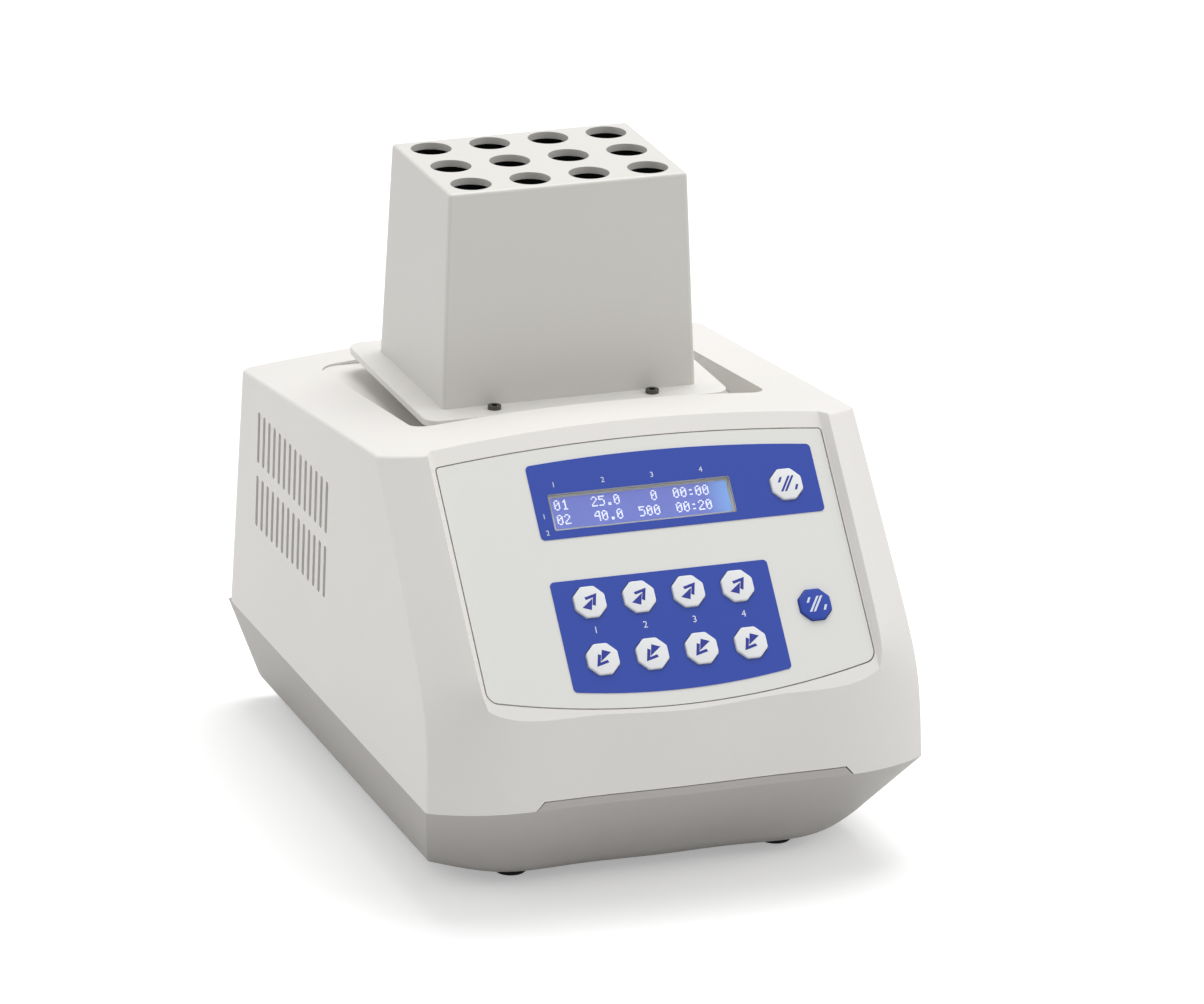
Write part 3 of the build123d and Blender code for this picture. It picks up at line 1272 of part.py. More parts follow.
def fan_rotor():
    """Hub on an axle with twisted blades."""
    y0 = REAR_PLATE_Y - FAN_DEPTH + FAN_SPIDER + FAN_BLADE_GAP
    y1 = REAR_PLATE_Y - FAN_BLADE_GAP
    hub = rod_y(FAN_X, FAN_Z, y0, y1, FAN_HUB)
    axle = rod_y(FAN_X, FAN_Z, y0 - FAN_BLADE_GAP - FAN_SPIDER / 2 + SHOULDER_GAP, y0, FAN_AXLE_RADIUS)
    reach = FAN_BORE - FAN_BLADE_GAP - FAN_HUB + 1
    depth = y1 - y0
    blade_length = depth / cos(radians(FAN_BLADE_ANGLE)) - 2 * FAN_BLADE_THICKNESS
    blades = []
    for i in range(FAN_BLADES):
        blade = Rot(0, 0, FAN_BLADE_ANGLE) * Box(FAN_BLADE_THICKNESS, blade_length, reach)
        blade = Pos(0, 0, FAN_HUB - 1 + reach / 2) * blade
        blades.append(Pos(FAN_X, (y0 + y1) / 2, FAN_Z) * Rot(0, 360 * i / FAN_BLADES, 0) * blade)
    tip = rod_y(FAN_X, FAN_Z, y0, y1, FAN_BORE - FAN_BLADE_GAP)
    return ((hub + blades) & tip) + axle


def fan_guard():
    """Guard over the fan opening: rings on two spokes that end in screw pads."""
    spoke_y = REAR_OUTSIDE + GUARD_WIRE
    front = spoke_y + 2 * GUARD_WIRE
    rings = [rod_y(FAN_X, FAN_Z, spoke_y, front, radius + GUARD_WIRE)
             - rod_y(FAN_X, FAN_Z, spoke_y, front, radius - GUARD_WIRE) for radius in GUARD_RINGS]
    hub = rod_y(FAN_X, FAN_Z, REAR_OUTSIDE, front, GUARD_HUB)
    reach = sqrt(2) * FAN_MOUNT - SCREW_HEAD_RADIUS
    spokes = [Pos(FAN_X, spoke_y, FAN_Z) * Rot(0, angle, 0) * Box(2 * reach, 2 * GUARD_WIRE, 2 * GUARD_WIRE)
              for angle in (45, 135)]
    pads = [rod_y(x, z, REAR_OUTSIDE, guard_seat(), SCREW_HEAD_RADIUS + 1) for x, z in fan_mounts()]
    holes = [rod_y(x, z, REAR_OUTSIDE - 1, REAR_OUTSIDE + 3, SCREW_RADIUS + SCREW_CLEARANCE) for x, z in fan_mounts()]
    return (hub + rings + spokes + pads - holes).solid()


def guard_seat():
    """Face of the guard's pads that the screw heads sit on."""
    return REAR_OUTSIDE + GUARD_PAD


def fan_screws():
    seat = guard_seat()
    screws = []
    for x, z in fan_mounts():
        head = rod_y(x, z, seat, seat + SCREW_HEAD_HEIGHT, SCREW_HEAD_RADIUS)
        screws.append(head + rod_y(x, z, REAR_PLATE_Y - SCREW_LENGTH, seat, SCREW_RADIUS))
    return screws


def housing_screws():
    """All screws of the outside: under the tray, round the rear panel and at the fan."""
    return group(closing_screws() + rear_screws() + fan_screws())


def inlet_body(grow, y0, y1):
    """Outline of the inlet's body where it passes the rear panel."""
    half = SOCKET_HALF_X + INLET_WALL + grow
    top = INLET_Z + SOCKET_HALF_Z + INLET_WALL + grow
    low = INLET_Z - DRAWER_DROP - DRAWER_HALF_Z - INLET_WALL - grow
    return rear_rectangle(half, low, top, y0, y1, 1.5, INLET_X)


def socket_shape(y0, y1):
    """Socket hollow with two cut corners."""
    w = SOCKET_HALF_X
    h = SOCKET_HALF_Z
    c = SOCKET_CHAMFER
    outline = Polyline((-w, -h), (w, -h), (w, h - c), (w - c, h), (-w + c, h), (-w, h - c), close=True)
    face = Pos(INLET_X, y1, INLET_Z) * Plane.XZ.location * make_face(outline)
    return extrude(face, y1 - y0)


def drawer_box(grow, y0, y1):
    z = INLET_Z - DRAWER_DROP
    return block(INLET_X - DRAWER_HALF_X - grow, INLET_X + DRAWER_HALF_X + grow, y0, y1,
                 z - DRAWER_HALF_Z - grow, z + DRAWER_HALF_Z + grow)


def inlet_face():
    return REAR_OUTSIDE + INLET_FLANGE_THICKNESS


def inlet_screw_points():
    z = INLET_Z - DRAWER_DROP / 2
    return [(INLET_X - INLET_SCREW_X, z), (INLET_X + INLET_SCREW_X, z)]


def power_inlet():
    face = inlet_face()
    body = inlet_body(0.0, face - SOCKET_DEPTH - INLET_BACK, face)
    body += rear_rectangle(INLET_FLANGE_HALF_X, INLET_Z - INLET_FLANGE_BOTTOM, INLET_Z + INLET_FLANGE_TOP,
                           REAR_OUTSIDE, face, INLET_CORNER, INLET_X)
    body -= socket_shape(face - SOCKET_DEPTH, face + 1)
    body -= drawer_box(DRAWER_CLEARANCE, face - DRAWER_DEPTH - DRAWER_CLEARANCE, face + 1)
    for dx, dz in ((-PIN_SPACING, -PIN_RISE), (0, PIN_RISE), (PIN_SPACING, -PIN_RISE)):
        body += block(INLET_X + dx - PIN_WIDTH / 2, INLET_X + dx + PIN_WIDTH / 2, face - SOCKET_DEPTH - 1,
                      face - SOCKET_DEPTH + PIN_LENGTH, INLET_Z + dz - PIN_HEIGHT / 2, INLET_Z + dz + PIN_HEIGHT / 2)
    return body.solid()


def fuse_drawer():
    face = inlet_face()
    tray = drawer_box(0.0, face - DRAWER_DEPTH, face)
    lip = drawer_box(DRAWER_LIP_GROWTH, face + SHOULDER_GAP, face + SHOULDER_GAP + DRAWER_LIP)
    neck = drawer_box(-1.0, face - 1, face + SHOULDER_GAP + 0.5)
    return tray + neck + lip


def switch_body(grow, y0, y1):
    half_x = ROCKER_HALF_X + ROCKER_CLEARANCE + ROCKER_WALL + grow
    half_z = ROCKER_HALF_Z + ROCKER_CLEARANCE + ROCKER_WALL + grow
    return block(SWITCH_X - half_x, SWITCH_X + half_x, y0, y1, SWITCH_Z - half_z, SWITCH_Z + half_z)


def rocker_axis_y():
    return REAR_OUTSIDE + ROCKER_FLANGE_THICKNESS - ROCKER_DEPTH / 2


def power_switch():
    """Frame of the rocker switch with its axle."""
    face = REAR_OUTSIDE + ROCKER_FLANGE_THICKNESS
    body = switch_body(0.0, face - ROCKER_BODY_DEPTH, face)
    body += switch_body(ROCKER_FLANGE, REAR_OUTSIDE, face)
    half_x = ROCKER_HALF_X + ROCKER_CLEARANCE
    half_z = ROCKER_HALF_Z + ROCKER_CLEARANCE
    body -= block(SWITCH_X - half_x, SWITCH_X + half_x, face - ROCKER_BODY_DEPTH + ROCKER_WALL, face + 1,
                  SWITCH_Z - half_z, SWITCH_Z + half_z)
    axle = Pos(SWITCH_X, rocker_axis_y(), SWITCH_Z) * Rot(0, 90, 0) * Cylinder(ROCKER_AXLE_RADIUS, 2 * half_x + 1)
    return (body + axle).solid()


def switch_rocker():
    """Rocker with a shallow V face, drawn level and then tipped to its off position."""
    y = rocker_axis_y()
    depth = ROCKER_DEPTH / 2
    crest = depth + 2.0
    dip = depth + 0.6
    outline = Polyline((-ROCKER_HALF_Z, -1), (-depth, -depth), (depth, -depth), (ROCKER_HALF_Z, -1),
                       (ROCKER_HALF_Z - 0.4, crest), (0, dip), (-ROCKER_HALF_Z + 0.4, crest), close=True)
    profile = Plane.YZ.location * Rot(0, 0, 90) * make_face(outline)
    body = extrude(profile, ROCKER_HALF_X, both=True)
    bore = Rot(0, 90, 0) * Cylinder(ROCKER_AXLE_RADIUS + RUNNING_CLEARANCE, 2 * ROCKER_HALF_X + 1)
    return Pos(SWITCH_X, y, SWITCH_Z) * Rot(ROCKER_TILT, 0, 0) * (body - bore)


SUB_PARTS = {
    "upper_housing": upper_housing,
    "base_tray": base_tray,
    "rubber_feet": rubber_feet,
    "housing_screws": housing_screws,
    "control_panel": control_panel,
    "panel_overlays": panel_overlays,
    "display_window": display_window,
    "lcd_module": lcd_module,
    "lcd_glass": lcd_glass,
    "keypad_board": keypad_board,
    "tube_block": tube_block,
    "block_cover": block_cover,
    "cover_flange": cover_flange,
    "flange_screws": flange_screws,
    "flange_posts": flange_posts,
    "heat_spreader": heat_spreader,
    "temperature_sensor": temperature_sensor,
    "thermoelectric_modules": thermoelectric_modules,
    "heat_sink": heat_sink,
    "carriage_plate": carriage_plate,
    "carriage_bearing": carriage_bearing,
    "deck_bearings": deck_bearings,
    "bearing_housing": bearing_housing,
    "main_shaft": main_shaft,
    "shaft_pulley": shaft_pulley,
    "counterweight": counterweight,
    "motor_housing": motor_housing,
    "motor_stator": motor_stator,
    "motor_shaft": motor_shaft,
    "motor_pulley": motor_pulley,
    "drive_belt": drive_belt,
    "drive_deck": drive_deck,
    "deck_pillars": deck_pillars,
    "chassis_plate": chassis_plate,
    "chassis_screws": chassis_screws,
    "power_supply": power_supply,
    "main_board": main_board,
    "ribbon_cable": ribbon_cable,
    "rear_panel": rear_panel,
    "fan_frame": fan_frame,
    "fan_rotor": fan_rotor,
    "fan_guard": fan_guard,
    "power_inlet": power_inlet,
    "fuse_drawer": fuse_drawer,
    "power_switch": power_switch,
    "switch_rocker": switch_rocker,
}

os.makedirs("parts", exist_ok=True)
for name, make in SUB_PARTS.items():
    export_step(make(), f"parts/{name}.step")
for name, (x, y) in key_places().items():
    export_step(key(x, y), f"parts/{name}.step")
for number, (x, y) in enumerate(idler_points(), start=1):
    export_step(idler_crank(x, y), f"parts/idler_crank_{number}.step")
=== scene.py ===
import math

import bmesh
import bpy
from mathutils import Matrix, Vector


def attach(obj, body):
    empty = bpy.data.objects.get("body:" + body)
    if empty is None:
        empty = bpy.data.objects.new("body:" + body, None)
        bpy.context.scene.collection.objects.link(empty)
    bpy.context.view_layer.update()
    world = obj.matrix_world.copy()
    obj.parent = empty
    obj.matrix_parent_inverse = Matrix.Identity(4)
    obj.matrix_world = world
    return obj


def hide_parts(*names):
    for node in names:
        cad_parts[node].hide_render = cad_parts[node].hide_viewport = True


# Bench mixer with an orbiting block of tube wells: finishes, keycaps, print and display.
# Metres in the frame of the CAD model: +X right, +Y back, +Z up, the bench at zero.

MM = 0.001

# Camera, as solved from the photograph
CAMERA_TARGET = Vector((30.555, 51.5, 107.02)) * MM
CAMERA_DISTANCE = 3925.65 * MM
CAMERA_AZIMUTH = 19.806
CAMERA_ELEVATION = 19.371
CAMERA_ROLL = 0.731
CAMERA_LENS = 270.42
CAMERA_REACH = 100
SENSOR_WIDTH = 36.0

# Light: each softbox as its place, the point it faces, its size and its power
SOFTBOXES = {
    "top_softbox": ((0.4, 0.5, 2.3), (0, 0, 0.15), 1.6, 35),
    "left_softbox": ((-2.2, 0.9, 0.9), (0, 0, 0.1), 1.2, 7),
    "right_softbox": ((2.1, -1.1, 1.3), (0, 0, 0.1), 1.0, 9),
}
WORLD_LIGHT = 0.54
FLOOR_SIZE = 20.0
FLOOR_ALBEDO = 0.8
FLOOR_GLOW = 0.34

# Plane of the control panel, and the keys on it
BAY_TILT = math.radians(48.6)
BAY_ORIGIN = Vector((0, -60.2, 180.6)) * MM
KEY_PITCH = 21.8 * MM
KEY_COUNT = 4
KEY_UP_ROW = 75.8 * MM
KEY_DOWN_ROW = 101.5 * MM
SIDE_KEY_X = 64.6 * MM
RUN_KEY_ROW = 32.9 * MM
STOP_KEY_ROW = 87.8 * MM
KEY_ACROSS = 13.8 * MM
KEY_FLANGE_ACROSS = 17.0 * MM
KEY_PROUD = 1.3 * MM
KEY_FLANGE_TOP = -2.6 * MM
KEY_FLANGE = 1.5 * MM
KEY_STEM_END = -6.9 * MM
KEY_STEM_RADIUS = 2.2 * MM
KEY_ROUND = 0.55 * MM
KEY_CORNER = 0.66 * MM
MARK_SCALE = 1.3
HALF_SIDE_TURN = math.pi / 8
CREASE_ANGLE = math.radians(35.0)

# Display, and what it shows: the distance down the panel and the text of each row
WINDOW_HALF_X = 40.4 * MM
WINDOW_TOP = 26.2 * MM
WINDOW_BOTTOM = 42.7 * MM
GLASS_FACE = -2.6 * MM
DOT_PITCH = 0.66 * MM
DOT_SIZE = 0.56 * MM
DOT_MARGIN = 3 * MM
DOT_COLUMNS = 4
CHARACTER_STEP = DOT_COLUMNS + 1
DISPLAY_ROWS = [(28.6 * MM, "01   25.0    0  00:00"), (35.2 * MM, "02   40.0  500  00:20")]
DISPLAY_BACKLIGHT = 12 * MM
FILM_THICKNESS = 0.25 * MM
INK = 0.04 * MM

# Numbers printed on the panel: their height, and how far they stand from what they name
KEY_NUMBER = 4.2 * MM
KEY_NUMBER_DROP = 1 * MM
COLUMN_NUMBER = 3.4 * MM
COLUMN_NUMBER_SHIFT = 4 * MM
COLUMN_NUMBER_RISE = 3 * MM
ROW_NUMBER = 3.2 * MM
ROW_NUMBER_GAP = 3.4 * MM
FIRST_ROW = 0.2
ROW_STEP = 0.45

# Pocket of the block, and the ledge in it
POCKET_HALF_X = 79.4 * MM
POCKET_FRONT = -20.4 * MM
POCKET_BACK = 113.4 * MM
POCKET_CORNER = 9.0 * MM
LEDGE_SIDE = 20.0 * MM
LEDGE_FRONT = 15.0 * MM
LEDGE_BACK = 7.5 * MM
LEDGE_TOP = 160.0 * MM
LEDGE_THICKNESS = 1.5 * MM
CORNER_STEPS = 8


# Small helpers

def bay_matrix(x, down, out):
    """Place on the panel: x to the right, down the slope, and out along its normal."""
    along = Vector((0, math.cos(BAY_TILT), math.sin(BAY_TILT)))
    normal = Vector((0, -math.sin(BAY_TILT), math.cos(BAY_TILT)))
    place = BAY_ORIGIN + Vector((x, 0, 0)) - along * down + normal * out
    turn = Matrix((Vector((1, 0, 0)), along, normal)).transposed()
    return Matrix.Translation(place) @ turn.to_4x4()


def finished(name, bm, material, place=None):
    """Mesh object at the origin from a bmesh, with its place in its vertices."""
    if place is not None:
        bmesh.ops.transform(bm, matrix=place, verts=bm.verts)
    mesh = bpy.data.meshes.new(name)
    bm.to_mesh(mesh)
    bm.free()
    mesh.materials.append(material)
    piece = bpy.data.objects.new(name, mesh)
    bpy.context.scene.collection.objects.link(piece)
    return piece


def smooth(piece):
    """Smooth shading, with creases where faces meet at more than the crease angle."""
    for polygon in piece.data.polygons:
        polygon.use_smooth = True
    piece.data.set_sharp_from_angle(angle=CREASE_ANGLE)


def linear(hex_colour):
    """Linear colour of an sRGB hex value."""
    channels = [int(hex_colour[i:i + 2], 16) / 255 for i in (1, 3, 5)]
    bent = [c / 12.92 if c <= 0.04045 else ((c + 0.055) / 1.055) ** 2.4 for c in channels]
    return (*bent, 1.0)


def node(tree, kind, links=None, **settings):
    """Adds a shader node, sets its sockets by name or index and links outputs into its inputs."""
    made = tree.nodes.new(kind)
    for name, value in settings.items():
        setattr(made, name, value)
    for socket, value in (links or {}).items():
        if isinstance(value, bpy.types.NodeSocket):
            tree.links.new(value, made.inputs[socket])
        else:
            made.inputs[socket].default_value = value
    return made


def surface(name):
    """New material: its node tree, its Principled shader and its object coordinates."""
    material = bpy.data.materials.new(name)
    material.use_nodes = True
    tree = material.node_tree
    shader = tree.nodes["Principled BSDF"]
    coordinates = tree.nodes.new("ShaderNodeTexCoord").outputs["Object"]
    return material, tree, shader, coordinates


# Materials

def textured_abs(name, colour, shade, roughness, depth):
    """ABS moulded in a spark-eroded tool: a fine matt grain of about 0.4 mm that softens every highlight.
    The grain is drawn at 0.9 mm, because at its real size it would vanish in the picture."""
    material, tree, shader, place = surface(name)
    grain = node(tree, "ShaderNodeTexNoise", {"Vector": place, "Scale": 1 / (0.9 * MM), "Detail": 2.0})
    drift = node(tree, "ShaderNodeTexNoise", {"Vector": place, "Scale": 1 / (70 * MM), "Detail": 1.0})
    tone = node(tree, "ShaderNodeMix", {"Factor": drift.outputs["Fac"], "A": linear(colour),
                                        "B": linear(shade)}, data_type="RGBA")
    tree.links.new(tone.outputs["Result"], shader.inputs["Base Color"])
    bump = node(tree, "ShaderNodeBump", {"Height": grain.outputs["Fac"], "Strength": depth,
                                         "Distance": 0.05 * MM})
    tree.links.new(bump.outputs["Normal"], shader.inputs["Normal"])
    polish = node(tree, "ShaderNodeMapRange", {"Value": grain.outputs["Fac"], "To Min": roughness - 0.06,
                                               "To Max": roughness + 0.06})
    tree.links.new(polish.outputs["Result"], shader.inputs["Roughness"])
    shader.inputs["IOR"].default_value = 1.53
    return material


def powder_coat(name, colour, roughness):
    """Powder coat on sheet metal: smooth, with a faint orange peel of about 2 mm."""
    material, tree, shader, place = surface(name)
    peel = node(tree, "ShaderNodeTexNoise", {"Vector": place, "Scale": 1 / (2 * MM), "Detail": 1.0})
    bump = node(tree, "ShaderNodeBump", {"Height": peel.outputs["Fac"], "Strength": 0.12,
                                         "Distance": 0.04 * MM})
    tree.links.new(bump.outputs["Normal"], shader.inputs["Normal"])
    drift = node(tree, "ShaderNodeTexNoise", {"Vector": place, "Scale": 1 / (45 * MM), "Detail": 1.0})
    wear = node(tree, "ShaderNodeMapRange", {"Value": drift.outputs["Fac"], "To Min": roughness - 0.05,
                                             "To Max": roughness + 0.07})
    tree.links.new(wear.outputs["Result"], shader.inputs["Roughness"])
    shader.inputs["Base Color"].default_value = linear(colour)
    shader.inputs["IOR"].default_value = 1.5
    return material


def printed_polycarbonate(name, colour, roughness):
    """Polycarbonate front film, printed from behind: even colour under a satin face of about 0.5 mm grain."""
    material, tree, shader, place = surface(name)
    satin = node(tree, "ShaderNodeTexNoise", {"Vector": place, "Scale": 1 / (0.5 * MM), "Detail": 2.0})
    bump = node(tree, "ShaderNodeBump", {"Height": satin.outputs["Fac"], "Strength": 0.08,
                                         "Distance": 0.03 * MM})
    tree.links.new(bump.outputs["Normal"], shader.inputs["Normal"])
    polish = node(tree, "ShaderNodeMapRange", {"Value": satin.outputs["Fac"], "To Min": roughness - 0.05,
                                               "To Max": roughness + 0.05})
    tree.links.new(polish.outputs["Result"], shader.inputs["Roughness"])
    shader.inputs["Base Color"].default_value = linear(colour)
    shader.inputs["IOR"].default_value = 1.585
    return material


def silicone_rubber(name, colour):
    """Moulded keycap rubber: soft sheen, with a skin of fine 0.3 mm texture."""
    material, tree, shader, place = surface(name)
    skin = node(tree, "ShaderNodeTexNoise", {"Vector": place, "Scale": 1 / (0.3 * MM), "Detail": 1.0})
    bump = node(tree, "ShaderNodeBump", {"Height": skin.outputs["Fac"], "Strength": 0.1,
                                         "Distance": 0.02 * MM})
    tree.links.new(bump.outputs["Normal"], shader.inputs["Normal"])
    polish = node(tree, "ShaderNodeMapRange", {"Value": skin.outputs["Fac"], "To Min": 0.42, "To Max": 0.55})
    tree.links.new(polish.outputs["Result"], shader.inputs["Roughness"])
    shader.inputs["Base Color"].default_value = linear(colour)
    shader.inputs["IOR"].default_value = 1.43
    return material


def brushed_metal(name, colour, roughness, direction, spacing):
    """Metal ground or brushed one way: fine lines along one axis, the given distance apart.
    Each line is about 50 times as long as that distance."""
    material, tree, shader, place = surface(name)
    stretch = [1 / spacing if axis != direction else 0.02 / spacing for axis in range(3)]
    turned = node(tree, "ShaderNodeMapping", {"Vector": place, "Scale": stretch})
    lines = node(tree, "ShaderNodeTexNoise", {"Vector": turned.outputs["Vector"], "Scale": 1.0,
                                              "Detail": 3.0})
    bump = node(tree, "ShaderNodeBump", {"Height": lines.outputs["Fac"], "Strength": 0.15,
                                         "Distance": 0.03 * MM})
    tree.links.new(bump.outputs["Normal"], shader.inputs["Normal"])
    polish = node(tree, "ShaderNodeMapRange", {"Value": lines.outputs["Fac"], "To Min": roughness - 0.08,
                                               "To Max": roughness + 0.1})
    tree.links.new(polish.outputs["Result"], shader.inputs["Roughness"])
    shader.inputs["Base Color"].default_value = linear(colour)
    shader.inputs["Metallic"].default_value = 1.0
    return material


def zinc_sheet():
    """Zinc-plated steel sheet: large pale crystals of about 6 mm with slightly different gloss."""
    material, tree, shader, place = surface("zinc_plated_steel")
    crystals = node(tree, "ShaderNodeTexVoronoi", {"Vector": place, "Scale": 1 / (6 * MM)})
    tone = node(tree, "ShaderNodeMix", {"Factor": crystals.outputs["Color"], "A": linear("#9a9da0"),
                                        "B": linear("#b9bcbe")}, data_type="RGBA")
    tree.links.new(tone.outputs["Result"], shader.inputs["Base Color"])
    gloss = node(tree, "ShaderNodeMapRange", {"Value": crystals.outputs["Distance"], "To Min": 0.3,
                                              "To Max": 0.45})
    tree.links.new(gloss.outputs["Result"], shader.inputs["Roughness"])
    shader.inputs["Metallic"].default_value = 1.0
    return material


def black_rubber():
    """Nitrile rubber: near black and matt, with a dusty bloom that varies over about 5 mm."""
    material, tree, shader, place = surface("nitrile_rubber")
    bloom = node(tree, "ShaderNodeTexNoise", {"Vector": place, "Scale": 1 / (5 * MM), "Detail": 3.0})
    tone = node(tree, "ShaderNodeMix", {"Factor": bloom.outputs["Fac"], "A": linear("#161616"),
                                        "B": linear("#2b2a29")}, data_type="RGBA")
    tree.links.new(tone.outputs["Result"], shader.inputs["Base Color"])
    shader.inputs["Roughness"].default_value = 0.75
    return material


def solder_mask():
    """Green solder mask over copper: glossy, with tracks about 1.2 mm apart under it."""
    material, tree, shader, place = surface("solder_mask")
    tracks = node(tree, "ShaderNodeTexBrick", {"Vector": place, "Color1": linear("#0d4a26"),
                                               "Color2": linear("#10532b"), "Mortar": linear("#1c6b3a"),
                                               "Scale": 1 / (1.2 * MM), "Mortar Size": 0.12})
    tree.links.new(tracks.outputs["Color"], shader.inputs["Base Color"])
    shader.inputs["Roughness"].default_value = 0.28
    return material


def enamelled_copper():
    """Enamelled winding wire: turns 0.6 mm apart round the motor's axis."""
    material, tree, shader, place = surface("enamelled_copper")
    turns = node(tree, "ShaderNodeTexWave", {"Vector": place, "Scale": 0.5 / (0.6 * MM)}, bands_direction="Z")
    bump = node(tree, "ShaderNodeBump", {"Height": turns.outputs["Fac"], "Strength": 0.6,
                                         "Distance": 0.2 * MM})
    tree.links.new(bump.outputs["Normal"], shader.inputs["Normal"])
    shader.inputs["Base Color"].default_value = linear("#b3642e")
    shader.inputs["Metallic"].default_value = 1.0
    shader.inputs["Roughness"].default_value = 0.35
    return material


def alumina_ceramic():
    """Sintered alumina face of a heat pump module: chalk white with a faint 0.5 mm grain."""
    material, tree, shader, place = surface("alumina_ceramic")
    grain = node(tree, "ShaderNodeTexNoise", {"Vector": place, "Scale": 1 / (0.5 * MM), "Detail": 2.0})
    tone = node(tree, "ShaderNodeMix", {"Factor": grain.outputs["Fac"], "A": linear("#e9e7e0"),
                                        "B": linear("#f4f2ec")}, data_type="RGBA")
    tree.links.new(tone.outputs["Result"], shader.inputs["Base Color"])
    shader.inputs["Roughness"].default_value = 0.6
    return material


def clear_acrylic():
    """Cast acrylic window: clear, with a hard gloss and hairline scratches about 3 mm apart."""
    material, tree, shader, place = surface("clear_acrylic")
    hair = node(tree, "ShaderNodeTexNoise", {"Vector": place, "Scale": 1 / (3 * MM), "Detail": 4.0})
    polish = node(tree, "ShaderNodeMapRange", {"Value": hair.outputs["Fac"], "To Min": 0.02, "To Max": 0.07})
    tree.links.new(polish.outputs["Result"], shader.inputs["Roughness"])
    shader.inputs["Base Color"].default_value = (1, 1, 1, 1)
    shader.inputs["Transmission Weight"].default_value = 1.0
    shader.inputs["IOR"].default_value = 1.49
    return material


def backlit_display():
    """Blue display glass with its backlight at the right end: even blue-violet that brightens there."""
    material, tree, shader, place = surface("backlit_display_glass")
    parts = node(tree, "ShaderNodeSeparateXYZ", {"Vector": place})
    reach = node(tree, "ShaderNodeMapRange", {"Value": parts.outputs["X"],
                                              "From Min": WINDOW_HALF_X - DISPLAY_BACKLIGHT,
                                              "From Max": WINDOW_HALF_X})
    glow = node(tree, "ShaderNodeMix", {"Factor": reach.outputs["Result"], "A": linear("#5a68b8"),
                                        "B": linear("#6fa0dc")}, data_type="RGBA")
    tree.links.new(glow.outputs["Result"], shader.inputs["Base Color"])
    tree.links.new(glow.outputs["Result"], shader.inputs["Emission Color"])
    shader.inputs["Emission Strength"].default_value = 0.55
    shader.inputs["Roughness"].default_value = 0.3
    return material


def plain_ink(name, colour, glow=0.0):
    """Screen-printed ink: a thin even film with a slight tooth of 0.2 mm."""
    material, tree, shader, place = surface(name)
    tooth = node(tree, "ShaderNodeTexNoise", {"Vector": place, "Scale": 1 / (0.2 * MM), "Detail": 1.0})
    polish = node(tree, "ShaderNodeMapRange", {"Value": tooth.outputs["Fac"], "To Min": 0.4, "To Max": 0.6})
    tree.links.new(polish.outputs["Result"], shader.inputs["Roughness"])
    shader.inputs["Base Color"].default_value = linear(colour)
    shader.inputs["Emission Color"].default_value = linear(colour)
    shader.inputs["Emission Strength"].default_value = glow
    return material


# Keys

def key_places():
    """Node name, x and distance down the panel of every key."""
    places = {}
    for i in range(KEY_COUNT):
        x = (i - (KEY_COUNT - 1) / 2) * KEY_PITCH
        places[f"key_up_{i + 1}"] = (x, KEY_UP_ROW)
        places[f"key_down_{i + 1}"] = (x, KEY_DOWN_ROW)
    places["key_run"] = (SIDE_KEY_X, RUN_KEY_ROW)
    places["key_stop"] = (SIDE_KEY_X, STOP_KEY_ROW)
    return places


def octagon_prism(bm, across, low, high):
    """Eight-sided prism with flats to the left and right, between two heights."""
    radius = across / 2 / math.cos(HALF_SIDE_TURN)
    turn = Matrix.Rotation(HALF_SIDE_TURN, 4, "Z")
    place = Matrix.Translation((0, 0, (low + high) / 2)) @ turn
    bmesh.ops.create_cone(bm, cap_ends=True, segments=8, radius1=radius, radius2=radius, depth=high - low,
                          matrix=place)


def keycap(name, x, down, material):
    """Keycap with soft corners and a rounded rim, its flange behind the panel and its stem."""
    bm = bmesh.new()
    flange_back = KEY_FLANGE_TOP - KEY_FLANGE
    octagon_prism(bm, KEY_ACROSS, KEY_FLANGE_TOP, KEY_PROUD)
    uprights = [e for e in bm.edges if abs(e.verts[0].co.z - e.verts[1].co.z) > KEY_PROUD]
    bmesh.ops.bevel(bm, geom=uprights, offset=KEY_CORNER, segments=3, profile=0.5, affect="EDGES",
                    material=-1)
    rim = [e for e in bm.edges if all(v.co.z > KEY_PROUD - 0.01 * MM for v in e.verts)]
    bmesh.ops.bevel(bm, geom=rim, offset=KEY_ROUND, segments=4, profile=0.5, affect="EDGES", material=-1)
    octagon_prism(bm, KEY_FLANGE_ACROSS, flange_back, KEY_FLANGE_TOP)
    bmesh.ops.create_cone(bm, cap_ends=True, segments=24, radius1=KEY_STEM_RADIUS, radius2=KEY_STEM_RADIUS,
                          depth=flange_back - KEY_STEM_END,
                          matrix=Matrix.Translation((0, 0, (flange_back + KEY_STEM_END) / 2)))
    piece = finished(name, bm, material, bay_matrix(x, down, 0))
    smooth(piece)
    return piece


def printed_shape(name, outlines, material, x, down, out, turn):
    """Thin printed shapes, each from the corners of its outline in millimetres before the mark's scale."""
    bm = bmesh.new()
    for outline in outlines:
        corners = [bm.verts.new((u * MM, v * MM, 0)) for u, v in outline]
        face = bm.faces.new(corners)
        raised = bmesh.ops.extrude_face_region(bm, geom=[face])["geom"]
        top = [g for g in raised if isinstance(g, bmesh.types.BMVert)]
        bmesh.ops.translate(bm, vec=(0, 0, INK), verts=top)
    bmesh.ops.recalc_face_normals(bm, faces=bm.faces)
    place = bay_matrix(x, down, out) @ Matrix.Rotation(turn, 4, "Z") @ Matrix.Scale(MARK_SCALE, 4)
    return finished(name, bm, material, place)


def arrow_outlines():
    """Solid triangle with an angled bar beyond its tip."""
    triangle = [(-3.0, -1.9), (-0.1, -3.0), (0.9, 0.9)]
    bar = [(-1.7, 1.5), (2.6, 2.6), (1.5, -1.7), (0.5, -1.2), (1.2, 1.3), (-1.3, 0.6)]
    return [triangle, bar]


